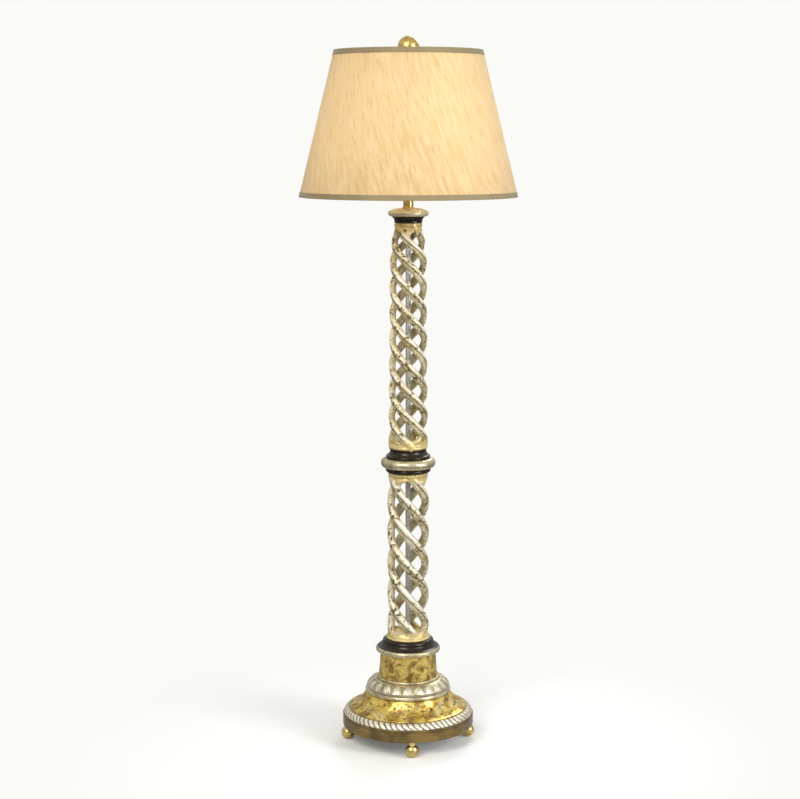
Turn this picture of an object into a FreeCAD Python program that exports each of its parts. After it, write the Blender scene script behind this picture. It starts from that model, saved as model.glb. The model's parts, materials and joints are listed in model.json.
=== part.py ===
import FreeCAD, Part
import math
import os

import Sketcher

# A candlestick floor lamp, in millimetres. The origin is on the floor under the lamp's axis,
# +Z is up, the viewer stands on the -Y side and +X is to the viewer's right.

os.makedirs("parts", exist_ok=True)
doc = FreeCAD.newDocument("candlestick_floor_lamp")

# ---------------------------------------------------------------------------------------------
# Driving dimensions
# ---------------------------------------------------------------------------------------------

DRIVING = {
    # feet
    "ball_radius": 16.5,
    "ball_flat_radius": 4.0,
    "foot_neck_radius": 8.0,
    "foot_height": 38.0,
    "foot_circle_radius": 145.0,
    "foot_turn": 3.5,
    "stud_radius": 4.0,
    "stud_in_foot": 15.0,
    "stud_in_plate": 14.0,
    # base plate and what it hides
    "plate_radius": 157.0,
    "plate_thick": 28.6,
    "plate_edge_round": 1.6,
    "plate_groove_depth": 0.9,
    "plate_groove_height": 1.6,
    "plate_rim_height": 3.0,
    "well_radius": 113.0,
    "well_depth": 18.0,
    "cover_radius": 118.0,
    "cover_thick": 3.0,
    "ballast_radius": 112.0,
    "ballast_web": 4.0,
    "ballast_hole_radius": 22.0,
    "ballast_slot_width": 13.0,
    "screw_radius": 2.0,
    "screw_head_radius": 4.0,
    "screw_head_high": 1.5,
    "screw_circle_radius": 80.0,
    "screw_length": 11.0,
    "bushing_bore_radius": 4.0,
    "bushing_radius": 6.3,
    "bushing_flange_radius": 9.0,
    "bushing_flange_thick": 2.6,
    "bushing_seat_depth": 1.6,
    "cord_heading": 45.0,
    # turned and carved base rings, from the plate upwards
    "rope_inner_radius": 131.0,
    "rope_outer_radius": 154.5,
    "rope_top_radius": 141.0,
    "rope_height": 14.4,
    "rope_foot": 2.0,
    "rope_round": 15.5,
    "skirt_edge_radius": 140.0,
    "skirt_edge_thick": 2.2,
    "skirt_top_radius": 101.0,
    "skirt_height": 52.6,
    "skirt_sweep": 60.0,
    "skirt_bead_radius": 102.5,
    "skirt_bead_height": 11.6,
    "leaf_foot_radius": 100.0,
    "leaf_foot_height": 4.6,
    "leaf_top_radius": 76.0,
    "leaf_height": 22.2,
    "leaf_round": 28.0,
    "drum_bead_radius": 75.0,
    "drum_bead_height": 5.6,
    "drum_foot_radius": 70.6,
    "drum_top_radius": 67.0,
    "drum_height": 59.4,
    "drum_hollow": 420.0,
    "plinth_bead_radius": 77.3,
    "plinth_bead_height": 13.4,
    "plinth_foot_radius": 73.5,
    "plinth_waist_radius": 61.5,
    "plinth_top_radius": 56.0,
    "plinth_step": 9.6,
    "plinth_height": 19.4,
    "plinth_hollow": 16.0,
    # lower open twist
    "lower_foot_ring_radius": 53.6,
    "lower_foot_ring_height": 5.4,
    "lower_foot_neck_radius": 47.5,
    "lower_foot_collar": 14.0,
    "lower_twist_height": 405.0,
    "lower_head_neck_radius": 43.0,
    "lower_head_ring_radius": 47.2,
    "lower_head_ring_height": 9.0,
    "lower_head_collar": 19.0,
    "lower_strand_circle": 39.6,
    "lower_strand_half_thick": 10.0,
    "lower_strand_half_high": 20.0,
    "lower_pitch": 300.5,
    "lower_crossing": 581.5,
    # knop between the two twists
    "knop_foot_radius": 53.4,
    "knop_foot_height": 11.0,
    "knop_radius": 64.8,
    "knop_seat_radius": 53.0,
    "knop_height": 23.0,
    "cavetto_foot_radius": 52.6,
    "cavetto_foot_height": 8.0,
    "cavetto_top_radius": 43.4,
    "cavetto_height": 22.5,
    "cavetto_hollow": 14.0,
    # upper open twist
    "upper_foot_ring_radius": 46.4,
    "upper_foot_ring_height": 9.5,
    "upper_foot_neck_radius": 43.0,
    "upper_foot_collar": 17.0,
    "upper_twist_height": 533.5,
    "upper_head_neck_radius": 31.0,
    "upper_head_ring_radius": 32.4,
    "upper_head_ring_height": 7.5,
    "upper_head_collar": 15.0,
    "upper_foot_strand_circle": 38.4,
    "upper_head_strand_circle": 31.0,
    "upper_strand_half_thick": 8.6,
    "upper_strand_half_high": 16.5,
    "upper_pitch": 242.4,
    "upper_crossing": 1151.5,
    "strand_count": 4,
    "strand_cover": 1.0,
    # short branches that close the openings of a twist with an arch at each collar
    "arch_rise": 27.0,
    "arch_turn": 42.0,
    "arch_radius": 7.0,
    # cap and neck
    "cove_foot_radius": 33.0,
    "cove_top_radius": 42.0,
    "cove_height": 15.0,
    "cove_hollow": 13.0,
    "dish_radius": 47.7,
    "dish_under_radius": 43.0,
    "dish_top_radius": 42.5,
    "dish_edge_height": 13.0,
    "dish_height": 18.6,
    "dish_seat_radius": 16.0,
    "neck_radius": 11.9,
    "neck_foot_radius": 13.6,
    "neck_foot_height": 2.6,
    "neck_height": 42.0,
    # centre rod, its fasteners and the riser
    "rod_radius": 6.35,
    "rod_bore_radius": 4.2,
    "rod_below_nut": 1.4,
    "rod_clearance": 0.3,
    "rod_in_cluster": 16.0,
    "rod_nut_across": 24.0,
    "rod_nut_thick": 6.5,
    "rod_washer_radius": 20.0,
    "rod_washer_thick": 2.0,
    "locknut_across": 24.0,
    "locknut_thick": 5.0,
    "riser_radius": 5.0,
    "riser_in_cluster": 12.0,
    "riser_nut_across": 16.0,
    "riser_nut_thick": 4.0,
    "thread_clearance": 0.08,
    # light cluster
    "cluster_foot_radius": 13.0,
    "cluster_foot_height": 4.0,
    "cluster_ball_radius": 22.0,
    "cluster_ball_height": 21.0,
    "cluster_head_radius": 9.0,
    "cluster_height": 53.0,
    "socket_tilt": 45.0,
    "nipple_radius": 5.0,
    "nipple_bore_radius": 3.4,
    "nipple_start": 15.0,
    "nipple_hole_start": 4.0,
    "nipple_in_cap": 8.0,
    "cap_start": 30.0,
    "cap_neck_radius": 8.0,
    "cap_neck_height": 5.0,
    "cap_height": 21.0,
    "cap_wall": 0.8,
    "shell_radius": 17.5,
    "shell_wall": 0.7,
    "shell_height": 41.0,
    "sleeve_gap": 0.2,
    "sleeve_wall": 0.8,
    "sleeve_height": 38.0,
    "switch_height": 19.0,
    "screw_shell_wall": 0.6,
    "screw_shell_height": 20.0,
    "lamp_base_radius": 13.2,
    "lamp_fit_clearance": 0.3,
    "key_height": 10.0,
    "key_shaft_radius": 2.5,
    "key_shaft_depth": 7.0,
    "key_stand_off": 6.0,
    "key_hub_radius": 4.2,
    "key_hub_length": 6.0,
    "key_blade_length": 11.0,
    "key_blade_width": 17.0,
    "key_blade_thick": 3.6,
    # bulbs
    "lamp_tip_radius": 4.6,
    "lamp_tip_height": 2.4,
    "lamp_cone_height": 3.4,
    "lamp_base_height": 24.0,
    "bulb_radius": 30.0,
    "bulb_neck_radius": 12.4,
    "bulb_neck_height": 9.0,
    "bulb_reach": 78.0,
    "bulb_wall": 0.9,
    # shade
    "shade_bottom_level": 1306.0,
    "shade_height": 334.0,
    "shade_top_radius": 171.7,
    "shade_bottom_radius": 254.0,
    "fabric_thick": 1.0,
    "lining_thick": 1.0,
    "lining_gap": 0.05,
    "trim_height": 11.5,
    "trim_thick": 0.9,
    "trim_gap": 0.05,
    "wire_radius": 1.6,
    "wire_gap": 0.1,
    "wire_inset": 4.0,
    "spider_drop": 32.0,
    "spider_arm_radius": 1.9,
    "spider_arm_count": 3,
    "hub_radius": 15.0,
    "hub_thick": 4.0,
    "hub_clearance": 0.3,
    "seat_washer_radius": 14.0,
    "seat_washer_thick": 1.5,
    "seat_nut_across": 16.0,
    "seat_nut_thick": 5.0,
    # finial
    "finial_gap": 0.3,
    "finial_foot_radius": 11.0,
    "finial_foot_height": 3.5,
    "finial_neck_radius": 7.6,
    "finial_ball_radius": 24.7,
    "finial_ball_level": 1648.3,
    "finial_bore_clearance": 0.09,
    "finial_bore_spare": 2.0,
    "riser_in_finial": 22.0,
}

sheet = doc.addObject("Spreadsheet::Sheet", "Sizes")
levels = doc.addObject("App::VarSet", "Levels")


class Size:
    """A length or angle as a number together with the expression that it comes from."""

    def __init__(self, number, text):
        self.number = float(number)
        self.text = text

    def __add__(self, other):
        other = size_of(other)
        return Size(self.number + other.number, "(%s + %s)" % (self.text, other.text))

    def __sub__(self, other):
        other = size_of(other)
        return Size(self.number - other.number, "(%s - %s)" % (self.text, other.text))

    def __mul__(self, other):
        other = size_of(other)
        return Size(self.number * other.number, "(%s * %s)" % (self.text, other.text))

    def __truediv__(self, other):
        other = size_of(other)
        return Size(self.number / other.number, "(%s / %s)" % (self.text, other.text))


def size_of(value):
    """The value itself where it is a Size, and a Size of the plain number otherwise."""
    if isinstance(value, Size):
        return value
    return Size(value, repr(float(value)))


def read_driving():
    """Write every driving dimension to the sheet and give each one back as a Size."""
    found = {}
    for row, (alias, number) in enumerate(DRIVING.items(), start=1):
        sheet.set("A%d" % row, alias)
        sheet.set("B%d" % row, str(number))
        sheet.setAlias("B%d" % row, alias)
        found[alias] = Size(number, "Sizes." + alias)
    doc.recompute()
    return found


S = read_driving()


def derived(name, value):
    """Keep a worked-out level or size under a name of its own, bound to what it comes from."""
    levels.addProperty("App::PropertyFloat", name)
    levels.setExpression(name, value.text)
    setattr(levels, name, value.number)
    return Size(value.number, "Levels." + name)


def sine(angle):
    return Size(math.sin(math.radians(angle.number)), "sin(%s * 1 deg)" % angle.text)


def cosine(angle):
    return Size(math.cos(math.radians(angle.number)), "cos(%s * 1 deg)" % angle.text)


def root(value):
    return Size(math.sqrt(value.number), "sqrt(%s)" % value.text)


def slope_angle(rise, run):
    angle = math.degrees(math.atan2(rise.number, run.number))
    return Size(angle, "(atan(%s / %s) / 1 deg)" % (rise.text, run.text))


# ---------------------------------------------------------------------------------------------
# Levels: where each piece of the stack begins, from the floor upwards
# ---------------------------------------------------------------------------------------------

plate_level = S["foot_height"]
well_top = derived("well_top", plate_level + S["well_depth"])
cover_top = derived("cover_top", plate_level + S["cover_thick"])
ballast_thick = derived("ballast_thick", well_top - cover_top)
rope_level = derived("rope_level", plate_level + S["plate_thick"])
skirt_bead_level = derived("skirt_bead_level", rope_level + S["skirt_height"])
leaf_level = derived("leaf_level", skirt_bead_level + S["skirt_bead_height"])
drum_bead_level = derived("drum_bead_level", leaf_level + S["leaf_height"])
drum_level = derived("drum_level", drum_bead_level + S["drum_bead_height"])
plinth_bead_level = derived("plinth_bead_level", drum_level + S["drum_height"])
plinth_level = derived("plinth_level", plinth_bead_level + S["plinth_bead_height"])
lower_level = derived("lower_level", plinth_level + S["plinth_height"])
knop_foot_level = derived("knop_foot_level", lower_level + S["lower_twist_height"])
knop_level = derived("knop_level", knop_foot_level + S["knop_foot_height"])
cavetto_level = derived("cavetto_level", knop_level + S["knop_height"])
upper_level = derived("upper_level", cavetto_level + S["cavetto_height"])
cove_level = derived("cove_level", upper_level + S["upper_twist_height"])
dish_level = derived("dish_level", cove_level + S["cove_height"])
neck_level = derived("neck_level", dish_level + S["dish_height"])
locknut_level = derived("locknut_level", neck_level + S["neck_height"])
cluster_level = derived("cluster_level", locknut_level + S["locknut_thick"])
cluster_centre = derived("cluster_centre", cluster_level + S["cluster_ball_height"])
cluster_top = derived("cluster_top", cluster_level + S["cluster_height"])
shade_top_level = derived("shade_top_level", S["shade_bottom_level"] + S["shade_height"])
hub_level = derived("hub_level", shade_top_level - S["spider_drop"])
seat_washer_level = derived("seat_washer_level", hub_level - S["seat_washer_thick"])
seat_nut_level = derived("seat_nut_level", seat_washer_level - S["seat_nut_thick"])
finial_level = derived("finial_level", hub_level + S["hub_thick"] + S["finial_gap"])
riser_top = derived("riser_top", finial_level + S["riser_in_finial"])
rod_hole = derived("rod_hole", S["rod_radius"] + S["rod_clearance"])


# ---------------------------------------------------------------------------------------------
# Ways of making a piece
# ---------------------------------------------------------------------------------------------

SUBPARTS = []


def keep(piece, label):
    """Name a finished sub-part and put it on the list that is written out."""
    piece.Label = label
    SUBPARTS.append(piece)
    return piece


def origin_feature(body, role):
    for feature in body.Origin.OriginFeatures:
        if feature.Role == role:
            return feature
    raise ValueError("no plane or axis named " + role)


def new_sketch(body, name, role="XZ_Plane"):
    sketch = body.newObject("Sketcher::SketchObject", name)
    sketch.AttachmentSupport = [(origin_feature(body, role), "")]
    sketch.MapMode = "FlatFace"
    return sketch


def arc_between(start, end, radius, side):
    """The shorter arc from start to end; side 1 bulges to the right of the way, -1 to the left."""
    chord = end - start
    middle = (start + end) * 0.5
    rise = math.sqrt(max(radius * radius - chord.Length * chord.Length / 4.0, 0.0))
    left = FreeCAD.Vector(-chord.y, chord.x, 0).normalize()
    centre = middle + left * (rise * side)
    first = math.atan2(start.y - centre.y, start.x - centre.x)
    last = math.atan2(end.y - centre.y, end.x - centre.x)
    circle = Part.Circle(centre, FreeCAD.Vector(0, 0, 1), radius)
    if side > 0:
        return Part.ArcOfCircle(circle, first, last), (1, 2)
    return Part.ArcOfCircle(circle, last, first), (2, 1)


def draw_outline(sketch, corners):
    """A closed outline through corners, each one (across, up) or (across, up, arc radius, side).

    The last two describe the edge that arrives at that corner. Every coordinate and radius is
    bound to its expression.
    """
    spots = [FreeCAD.Vector(size_of(c[0]).number, size_of(c[1]).number, 0) for c in corners]
    ends = []
    for index, corner in enumerate(corners):
        start, end = spots[index - 1], spots[index]
        if len(corner) == 4:
            radius = size_of(corner[2])
            arc, order = arc_between(start, end, radius.number, corner[3])
            edge = sketch.addGeometry(arc)
            bind(sketch, Sketcher.Constraint("Radius", edge, radius.number), radius)
        else:
            edge = sketch.addGeometry(Part.LineSegment(start, end))
            order = (1, 2)
        ends.append((edge, order))
    for index, corner in enumerate(corners):
        edge, order = ends[index]
        following, next_order = ends[(index + 1) % len(corners)]
        sketch.addConstraint(
            Sketcher.Constraint("Coincident", edge, order[1], following, next_order[0])
        )
        place_point(sketch, edge, order[1], corner[0], corner[1])


def bind(sketch, constraint, value):
    index = sketch.addConstraint(constraint)
    sketch.setExpression("Constraints[%d]" % index, value.text)


def place_point(sketch, edge, point, across, up):
    """Fix one point of an edge at its distances from the sketch's origin."""
    across, up = size_of(across), size_of(up)
    bind(sketch, Sketcher.Constraint("DistanceX", -1, 1, edge, point, across.number), across)
    bind(sketch, Sketcher.Constraint("DistanceY", -1, 1, edge, point, up.number), up)


def draw_circle(sketch, across, up, radius):
    centre = FreeCAD.Vector(size_of(across).number, size_of(up).number, 0)
    edge = sketch.addGeometry(Part.Circle(centre, FreeCAD.Vector(0, 0, 1), radius.number))
    bind(sketch, Sketcher.Constraint("Radius", edge, radius.number), radius)
    place_point(sketch, edge, 3, across, up)


def revolve(body, sketch):
    feature = body.newObject("PartDesign::Revolution", sketch.Name + "_turn")
    feature.Profile = sketch
    feature.ReferenceAxis = (sketch, ["V_Axis"])
    feature.Angle = 360
    return feature


def new_body(label, level=None):
    """An empty body whose own origin stands on the lamp's axis at the given level."""
    body = doc.addObject("PartDesign::Body", label)
    if level is not None:
        body.setExpression("Placement.Base.z", level.text)
    return keep(body, label)


def turned(label, level, corners):
    """A piece turned on the lamp's axis from its half outline, given as (radius, height)."""
    body = new_body(label, level)
    sketch = new_sketch(body, label + "_outline")
    draw_outline(sketch, corners)
    revolve(body, sketch)
    return body


def drill(body, radius, length, base, turn_axis=(0, 0, 1), turn=0.0):
    """Cut a round hole: it starts at base and runs along the body's +Z, turned as given."""
    hole = body.newObject("PartDesign::SubtractiveCylinder", body.Label + "_hole")
    hole.AttachmentSupport = [(origin_feature(body, "XY_Plane"), "")]
    hole.MapMode = "FlatFace"
    angle = size_of(turn)
    hole.AttachmentOffset = FreeCAD.Placement(
        FreeCAD.Vector(*[size_of(b).number for b in base]),
        FreeCAD.Rotation(FreeCAD.Vector(*turn_axis), angle.number),
    )
    for direction, value in zip("xyz", base):
        hole.setExpression("AttachmentOffset.Base." + direction, size_of(value).text)
    if isinstance(turn, Size):
        hole.setExpression("AttachmentOffset.Rotation.Angle", angle.text)
    hole.setExpression("Radius", size_of(radius).text)
    hole.setExpression("Height", size_of(length).text)
    return hole


def ring_pattern(body, features, count):
    """Repeat features evenly about the body's upright axis and make them the body's tip."""
    doc.recompute()
    pattern = body.newObject("PartDesign::PolarPattern", body.Label + "_ring")
    pattern.Originals = features
    pattern.Axis = (origin_feature(body, "Z_Axis"), [""])
    pattern.Angle = 360
    pattern.setExpression("Occurrences", count.text)
    body.Tip = pattern
    return pattern


def hexagon_nut(label, level, across, thick, hole_radius):
    """A hexagon nut on the lamp's axis, across its flats, with a plain hole for the thread."""
    corner_radius = across / math.sqrt(3.0)
    block = doc.addObject("Part::Prism", label + "_block")
    block.Polygon = 6
    block.setExpression("Circumradius", corner_radius.text)
    block.setExpression("Height", thick.text)
    hole = doc.addObject("Part::Cylinder", label + "_thread")
    hole.setExpression("Radius", hole_radius.text)
    hole.setExpression("Height", thick.text)
    nut = doc.addObject("Part::Cut", label)
    nut.Base = block
    nut.Tool = hole
    nut.setExpression("Placement.Base.z", level.text)
    return keep(nut, label)


# ---------------------------------------------------------------------------------------------
# Feet
# ---------------------------------------------------------------------------------------------

FOOT_NAMES = ("front", "right", "back", "left")
QUARTER_TURN = 90.0


def foot_angle(index):
    """Where a foot stands, as the turn of its sight line from -Y towards +X."""
    return S["foot_turn"] + QUARTER_TURN * index


def foot_spot(index):
    """A foot's place on its circle as two expressions, across and deep."""
    angle = foot_angle(index)
    across = S["foot_circle_radius"] * sine(angle)
    deep = S["foot_circle_radius"] * cosine(angle) * -1.0
    return across, deep


def make_ball_foot(index):
    """A turned ball with a short neck, flat where it stands and bored for its stud."""
    flat = S["ball_flat_radius"]
    ball = S["ball_radius"]
    neck = S["foot_neck_radius"]
    centre = root(ball * ball - flat * flat)
    neck_start = centre + root(ball * ball - neck * neck)
    hole = S["stud_radius"] + S["thread_clearance"]
    hole_bottom = S["foot_height"] - S["stud_in_foot"] - S["thread_clearance"]
    body = new_body("ball_foot_" + FOOT_NAMES[index])
    sketch = new_sketch(body, body.Name + "_outline")
    draw_outline(sketch, [
        (0.0, 0.0),
        (flat, 0.0),
        (ball, centre, ball, 1),
        (neck, neck_start, ball, 1),
        (neck, S["foot_height"]),
        (hole, S["foot_height"]),
        (hole, hole_bottom),
        (0.0, hole_bottom),
    ])
    revolve(body, sketch)
    across, deep = foot_spot(index)
    body.setExpression("Placement.Base.x", across.text)
    body.setExpression("Placement.Base.y", deep.text)
    return body


def make_foot_studs():
    """The four threaded studs that hold the feet, kept as one group."""
    studs = []
    for index, name in enumerate(FOOT_NAMES):
        stud = doc.addObject("Part::Cylinder", "foot_stud_" + name)
        across, deep = foot_spot(index)
        stud.setExpression("Radius", S["stud_radius"].text)
        stud.setExpression("Height", (S["stud_in_foot"] + S["stud_in_plate"]).text)
        stud.setExpression("Placement.Base.x", across.text)
        stud.setExpression("Placement.Base.y", deep.text)
        stud.setExpression("Placement.Base.z", (plate_level - S["stud_in_foot"]).text)
        studs.append(stud)
    group = doc.addObject("Part::Compound", "foot_studs")
    group.Links = studs
    return keep(group, "foot_studs")


# ---------------------------------------------------------------------------------------------
# Base plate, ballast, cover and cord bushing
# ---------------------------------------------------------------------------------------------

bushing_height = derived("bushing_height", (S["cover_thick"] + S["well_depth"]) / 2.0)


def cord_way():
    """The level direction in which the cord leaves, as a heading from +X towards +Y."""
    heading = math.radians(S["cord_heading"].number)
    return FreeCAD.Vector(math.cos(heading), math.sin(heading), 0)


def cord_turn_axis():
    """The level axis about which a quarter turn lays +Z along the cord's way."""
    way = cord_way()
    return (-way.y, way.x, 0)


def make_base_plate():
    """The turned round plate, hollowed below for the ballast and bored for feet and cord."""
    rim = S["plate_rim_height"]
    groove = S["plate_groove_height"]
    groove_radius = S["plate_radius"] - S["plate_groove_depth"]
    edge = S["plate_edge_round"]
    cover_hole = S["cover_radius"] + S["rod_clearance"]
    top = S["plate_thick"]
    body = new_body("base_plate", plate_level)
    sketch = new_sketch(body, "base_plate_outline")
    draw_outline(sketch, [
        (cover_hole, 0.0),
        (S["plate_radius"] - edge, 0.0),
        (S["plate_radius"], edge, edge, 1),
        (S["plate_radius"], top - rim - groove),
        (groove_radius, top - rim - groove),
        (groove_radius, top - rim),
        (S["plate_radius"], top - rim),
        (S["plate_radius"], top - edge),
        (S["plate_radius"] - edge, top, edge, 1),
        (rod_hole, top),
        (rod_hole, S["well_depth"]),
        (S["well_radius"], S["well_depth"]),
        (S["well_radius"], S["cover_thick"]),
        (cover_hole, S["cover_thick"]),
    ])
    revolve(body, sketch)
    hole_radius = S["stud_radius"] + S["thread_clearance"]
    hole_depth = S["stud_in_plate"] + S["thread_clearance"]
    for index in range(len(FOOT_NAMES)):
        across, deep = foot_spot(index)
        drill(body, hole_radius, hole_depth, (across, deep, 0.0))
    barrel = S["bushing_radius"] + S["thread_clearance"]
    centre = (0.0, 0.0, bushing_height)
    drill(body, barrel, S["plate_radius"], centre, cord_turn_axis(), QUARTER_TURN)
    seat = S["bushing_flange_radius"] + S["rod_clearance"]
    seat_start = S["plate_radius"] - S["bushing_seat_depth"]
    base = (seat_start * cord_way().x, seat_start * cord_way().y, bushing_height)
    drill(body, seat, S["bushing_flange_thick"], base, cord_turn_axis(), QUARTER_TURN)
    return body


def make_cord_bushing():
    """The flanged bushing in the plate's back edge that a supply cord enters by."""
    length = S["plate_radius"] - S["bushing_seat_depth"] - S["well_radius"]
    body = new_body("cord_bushing")
    sketch = new_sketch(body, "cord_bushing_outline")
    draw_outline(sketch, [
        (S["bushing_bore_radius"], 0.0),
        (S["bushing_radius"], 0.0),
        (S["bushing_radius"], length),
        (S["bushing_flange_radius"], length),
        (S["bushing_flange_radius"], length + S["bushing_flange_thick"]),
        (S["bushing_bore_radius"], length + S["bushing_flange_thick"]),
    ])
    revolve(body, sketch)
    body.Placement = FreeCAD.Placement(
        FreeCAD.Vector(0, 0, 0),
        FreeCAD.Rotation(FreeCAD.Vector(*cord_turn_axis()), QUARTER_TURN),
    )
    body.setExpression("Placement.Base.x", (S["well_radius"] * cord_way().x).text)
    body.setExpression("Placement.Base.y", (S["well_radius"] * cord_way().y).text)
    body.setExpression("Placement.Base.z", (plate_level + bushing_height).text)
    return body


SCREW_COUNT = 3


def screw_spots():
    """Where the cover's screws stand: evenly spaced, the first one towards the viewer."""
    spots = []
    for index in range(SCREW_COUNT):
        angle = math.radians(360.0 / SCREW_COUNT * index)
        across = S["screw_circle_radius"] * math.sin(angle)
        deep = S["screw_circle_radius"] * -math.cos(angle)
        spots.append((across, deep))
    return spots


def make_ballast():
    """The cast weight in the plate's well, hollowed for the rod's nut and slotted for the cord."""
    hollow = ballast_thick - S["ballast_web"]
    body = new_body("ballast_weight", cover_top)
    sketch = new_sketch(body, "ballast_outline")
    draw_outline(sketch, [
        (S["ballast_hole_radius"], 0.0),
        (S["ballast_radius"], 0.0),
        (S["ballast_radius"], ballast_thick),
        (rod_hole, ballast_thick),
        (rod_hole, hollow),
        (S["ballast_hole_radius"], hollow),
    ])
    revolve(body, sketch)
    for across, deep in screw_spots():
        hole_radius = S["screw_radius"] + S["thread_clearance"]
        hole_depth = S["screw_length"] - S["cover_thick"] + S["thread_clearance"]
        drill(body, hole_radius, hole_depth, (across, deep, 0.0))
    slot = new_sketch(body, "cord_slot", "XY_Plane")
    slot_turn = S["cord_heading"] - QUARTER_TURN
    slot.AttachmentOffset = FreeCAD.Placement(
        FreeCAD.Vector(0, 0, 0), FreeCAD.Rotation(FreeCAD.Vector(0, 0, 1), slot_turn.number)
    )
    slot.setExpression("AttachmentOffset.Rotation.Angle", slot_turn.text)
    half = S["ballast_slot_width"] / 2.0
    slot_start = S["ballast_hole_radius"] * 0.75
    slot_end = S["ballast_radius"] + 1.0
    draw_outline(slot, [
        (half * -1.0, slot_start),
        (half, slot_start),
        (half, slot_end),
        (half * -1.0, slot_end),
    ])
    cut = body.newObject("PartDesign::Pocket", "cord_slot_cut")
    cut.Profile = slot
    cut.Type = 0
    cut.setExpression("Length", hollow.text)
    cut.Reversed = True
    body.Tip = cut
    return body


def make_cover():
    """The thin board that closes the well, with holes for its screws."""
    body = new_body("base_cover", plate_level)
    sketch = new_sketch(body, "cover_outline")
    draw_outline(sketch, [
        (0.0, 0.0),
        (S["cover_radius"], 0.0),
        (S["cover_radius"], S["cover_thick"]),
        (0.0, S["cover_thick"]),
    ])
    revolve(body, sketch)
    for across, deep in screw_spots():
        hole_radius = S["screw_radius"] + S["thread_clearance"]
        drill(body, hole_radius, S["cover_thick"], (across, deep, 0.0))
    return body


def make_cover_screws():
    """Round-headed screws that hold the cover to the ballast, kept as one group."""
    screws = []
    for index, (across, deep) in enumerate(screw_spots()):
        shank = doc.addObject("Part::Cylinder", "cover_screw_shank_%d" % index)
        shank.setExpression("Radius", S["screw_radius"].text)
        shank.setExpression("Height", S["screw_length"].text)
        head = doc.addObject("Part::Cone", "cover_screw_head_%d" % index)
        head.setExpression("Radius1", (S["screw_head_radius"] - S["screw_head_high"] / 2.0).text)
        head.setExpression("Radius2", S["screw_head_radius"].text)
        head.setExpression("Height", S["screw_head_high"].text)
        head.setExpression("Placement.Base.z", (S["screw_head_high"] * -1.0).text)
        screw = doc.addObject("Part::MultiFuse", "cover_screw_%d" % index)
        screw.Shapes = [shank, head]
        screw.setExpression("Placement.Base.x", across.text)
        screw.setExpression("Placement.Base.y", deep.text)
        screw.setExpression("Placement.Base.z", plate_level.text)
        screws.append(screw)
    group = doc.addObject("Part::Compound", "cover_screws")
    group.Links = screws
    return keep(group, "cover_screws")


# ---------------------------------------------------------------------------------------------
# Turned and carved rings of the base, plain towards the rod that holds them
# ---------------------------------------------------------------------------------------------


def half_round(outer, height):
    """The corners of a half-round edge: up the outside of a ring from its foot to its top."""
    nose = height / 2.0
    return [
        (outer - nose, 0.0),
        (outer, nose, nose, 1),
        (outer - nose, height, nose, 1),
    ]


def make_base_rings():
    turned("rope_moulding", rope_level, [
        (S["rope_inner_radius"], 0.0),
        (S["rope_outer_radius"], 0.0),
        (S["rope_outer_radius"], S["rope_foot"]),
        (S["rope_top_radius"], S["rope_height"], S["rope_round"], 1),
        (S["rope_inner_radius"], S["rope_height"]),
    ])
    skirt_foot = S["rope_inner_radius"] - S["rod_clearance"]
    skirt_edge = S["rope_height"] + S["rod_clearance"]
    turned("base_skirt", rope_level, [
        (rod_hole, 0.0),
        (skirt_foot, 0.0),
        (skirt_foot, skirt_edge),
        (S["skirt_edge_radius"], skirt_edge),
        (S["skirt_edge_radius"], skirt_edge + S["skirt_edge_thick"]),
        (S["skirt_top_radius"], S["skirt_height"], S["skirt_sweep"], -1),
        (rod_hole, S["skirt_height"]),
    ])
    turned("skirt_bead", skirt_bead_level, (
        half_round(S["skirt_bead_radius"], S["skirt_bead_height"])
        + [(rod_hole, S["skirt_bead_height"]), (rod_hole, 0.0)]
    ))
    turned("leaf_moulding", leaf_level, [
        (rod_hole, 0.0),
        (S["leaf_foot_radius"], 0.0),
        (S["leaf_foot_radius"], S["leaf_foot_height"]),
        (S["leaf_top_radius"], S["leaf_height"], S["leaf_round"], 1),
        (rod_hole, S["leaf_height"]),
    ])
    turned("drum_bead", drum_bead_level, (
        half_round(S["drum_bead_radius"], S["drum_bead_height"])
        + [(rod_hole, S["drum_bead_height"]), (rod_hole, 0.0)]
    ))
    turned("drum", drum_level, [
        (rod_hole, 0.0),
        (S["drum_foot_radius"], 0.0),
        (S["drum_top_radius"], S["drum_height"], S["drum_hollow"], -1),
        (rod_hole, S["drum_height"]),
    ])
    turned("plinth_bead", plinth_bead_level, (
        half_round(S["plinth_bead_radius"], S["plinth_bead_height"])
        + [(rod_hole, S["plinth_bead_height"]), (rod_hole, 0.0)]
    ))
    step_round = (S["plinth_height"] - S["plinth_step"]) / 2.0
    turned("plinth_ring", plinth_level, [
        (rod_hole, 0.0),
        (S["plinth_foot_radius"], 0.0),
        (S["plinth_waist_radius"], S["plinth_step"], S["plinth_hollow"], -1),
        (S["plinth_top_radius"] + step_round, S["plinth_step"]),
        (S["plinth_top_radius"], S["plinth_height"], step_round * 1.6, 1),
        (rod_hole, S["plinth_height"]),
    ])


# ---------------------------------------------------------------------------------------------
# Open twists: four left-handed strands between two turned collars
# ---------------------------------------------------------------------------------------------


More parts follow.
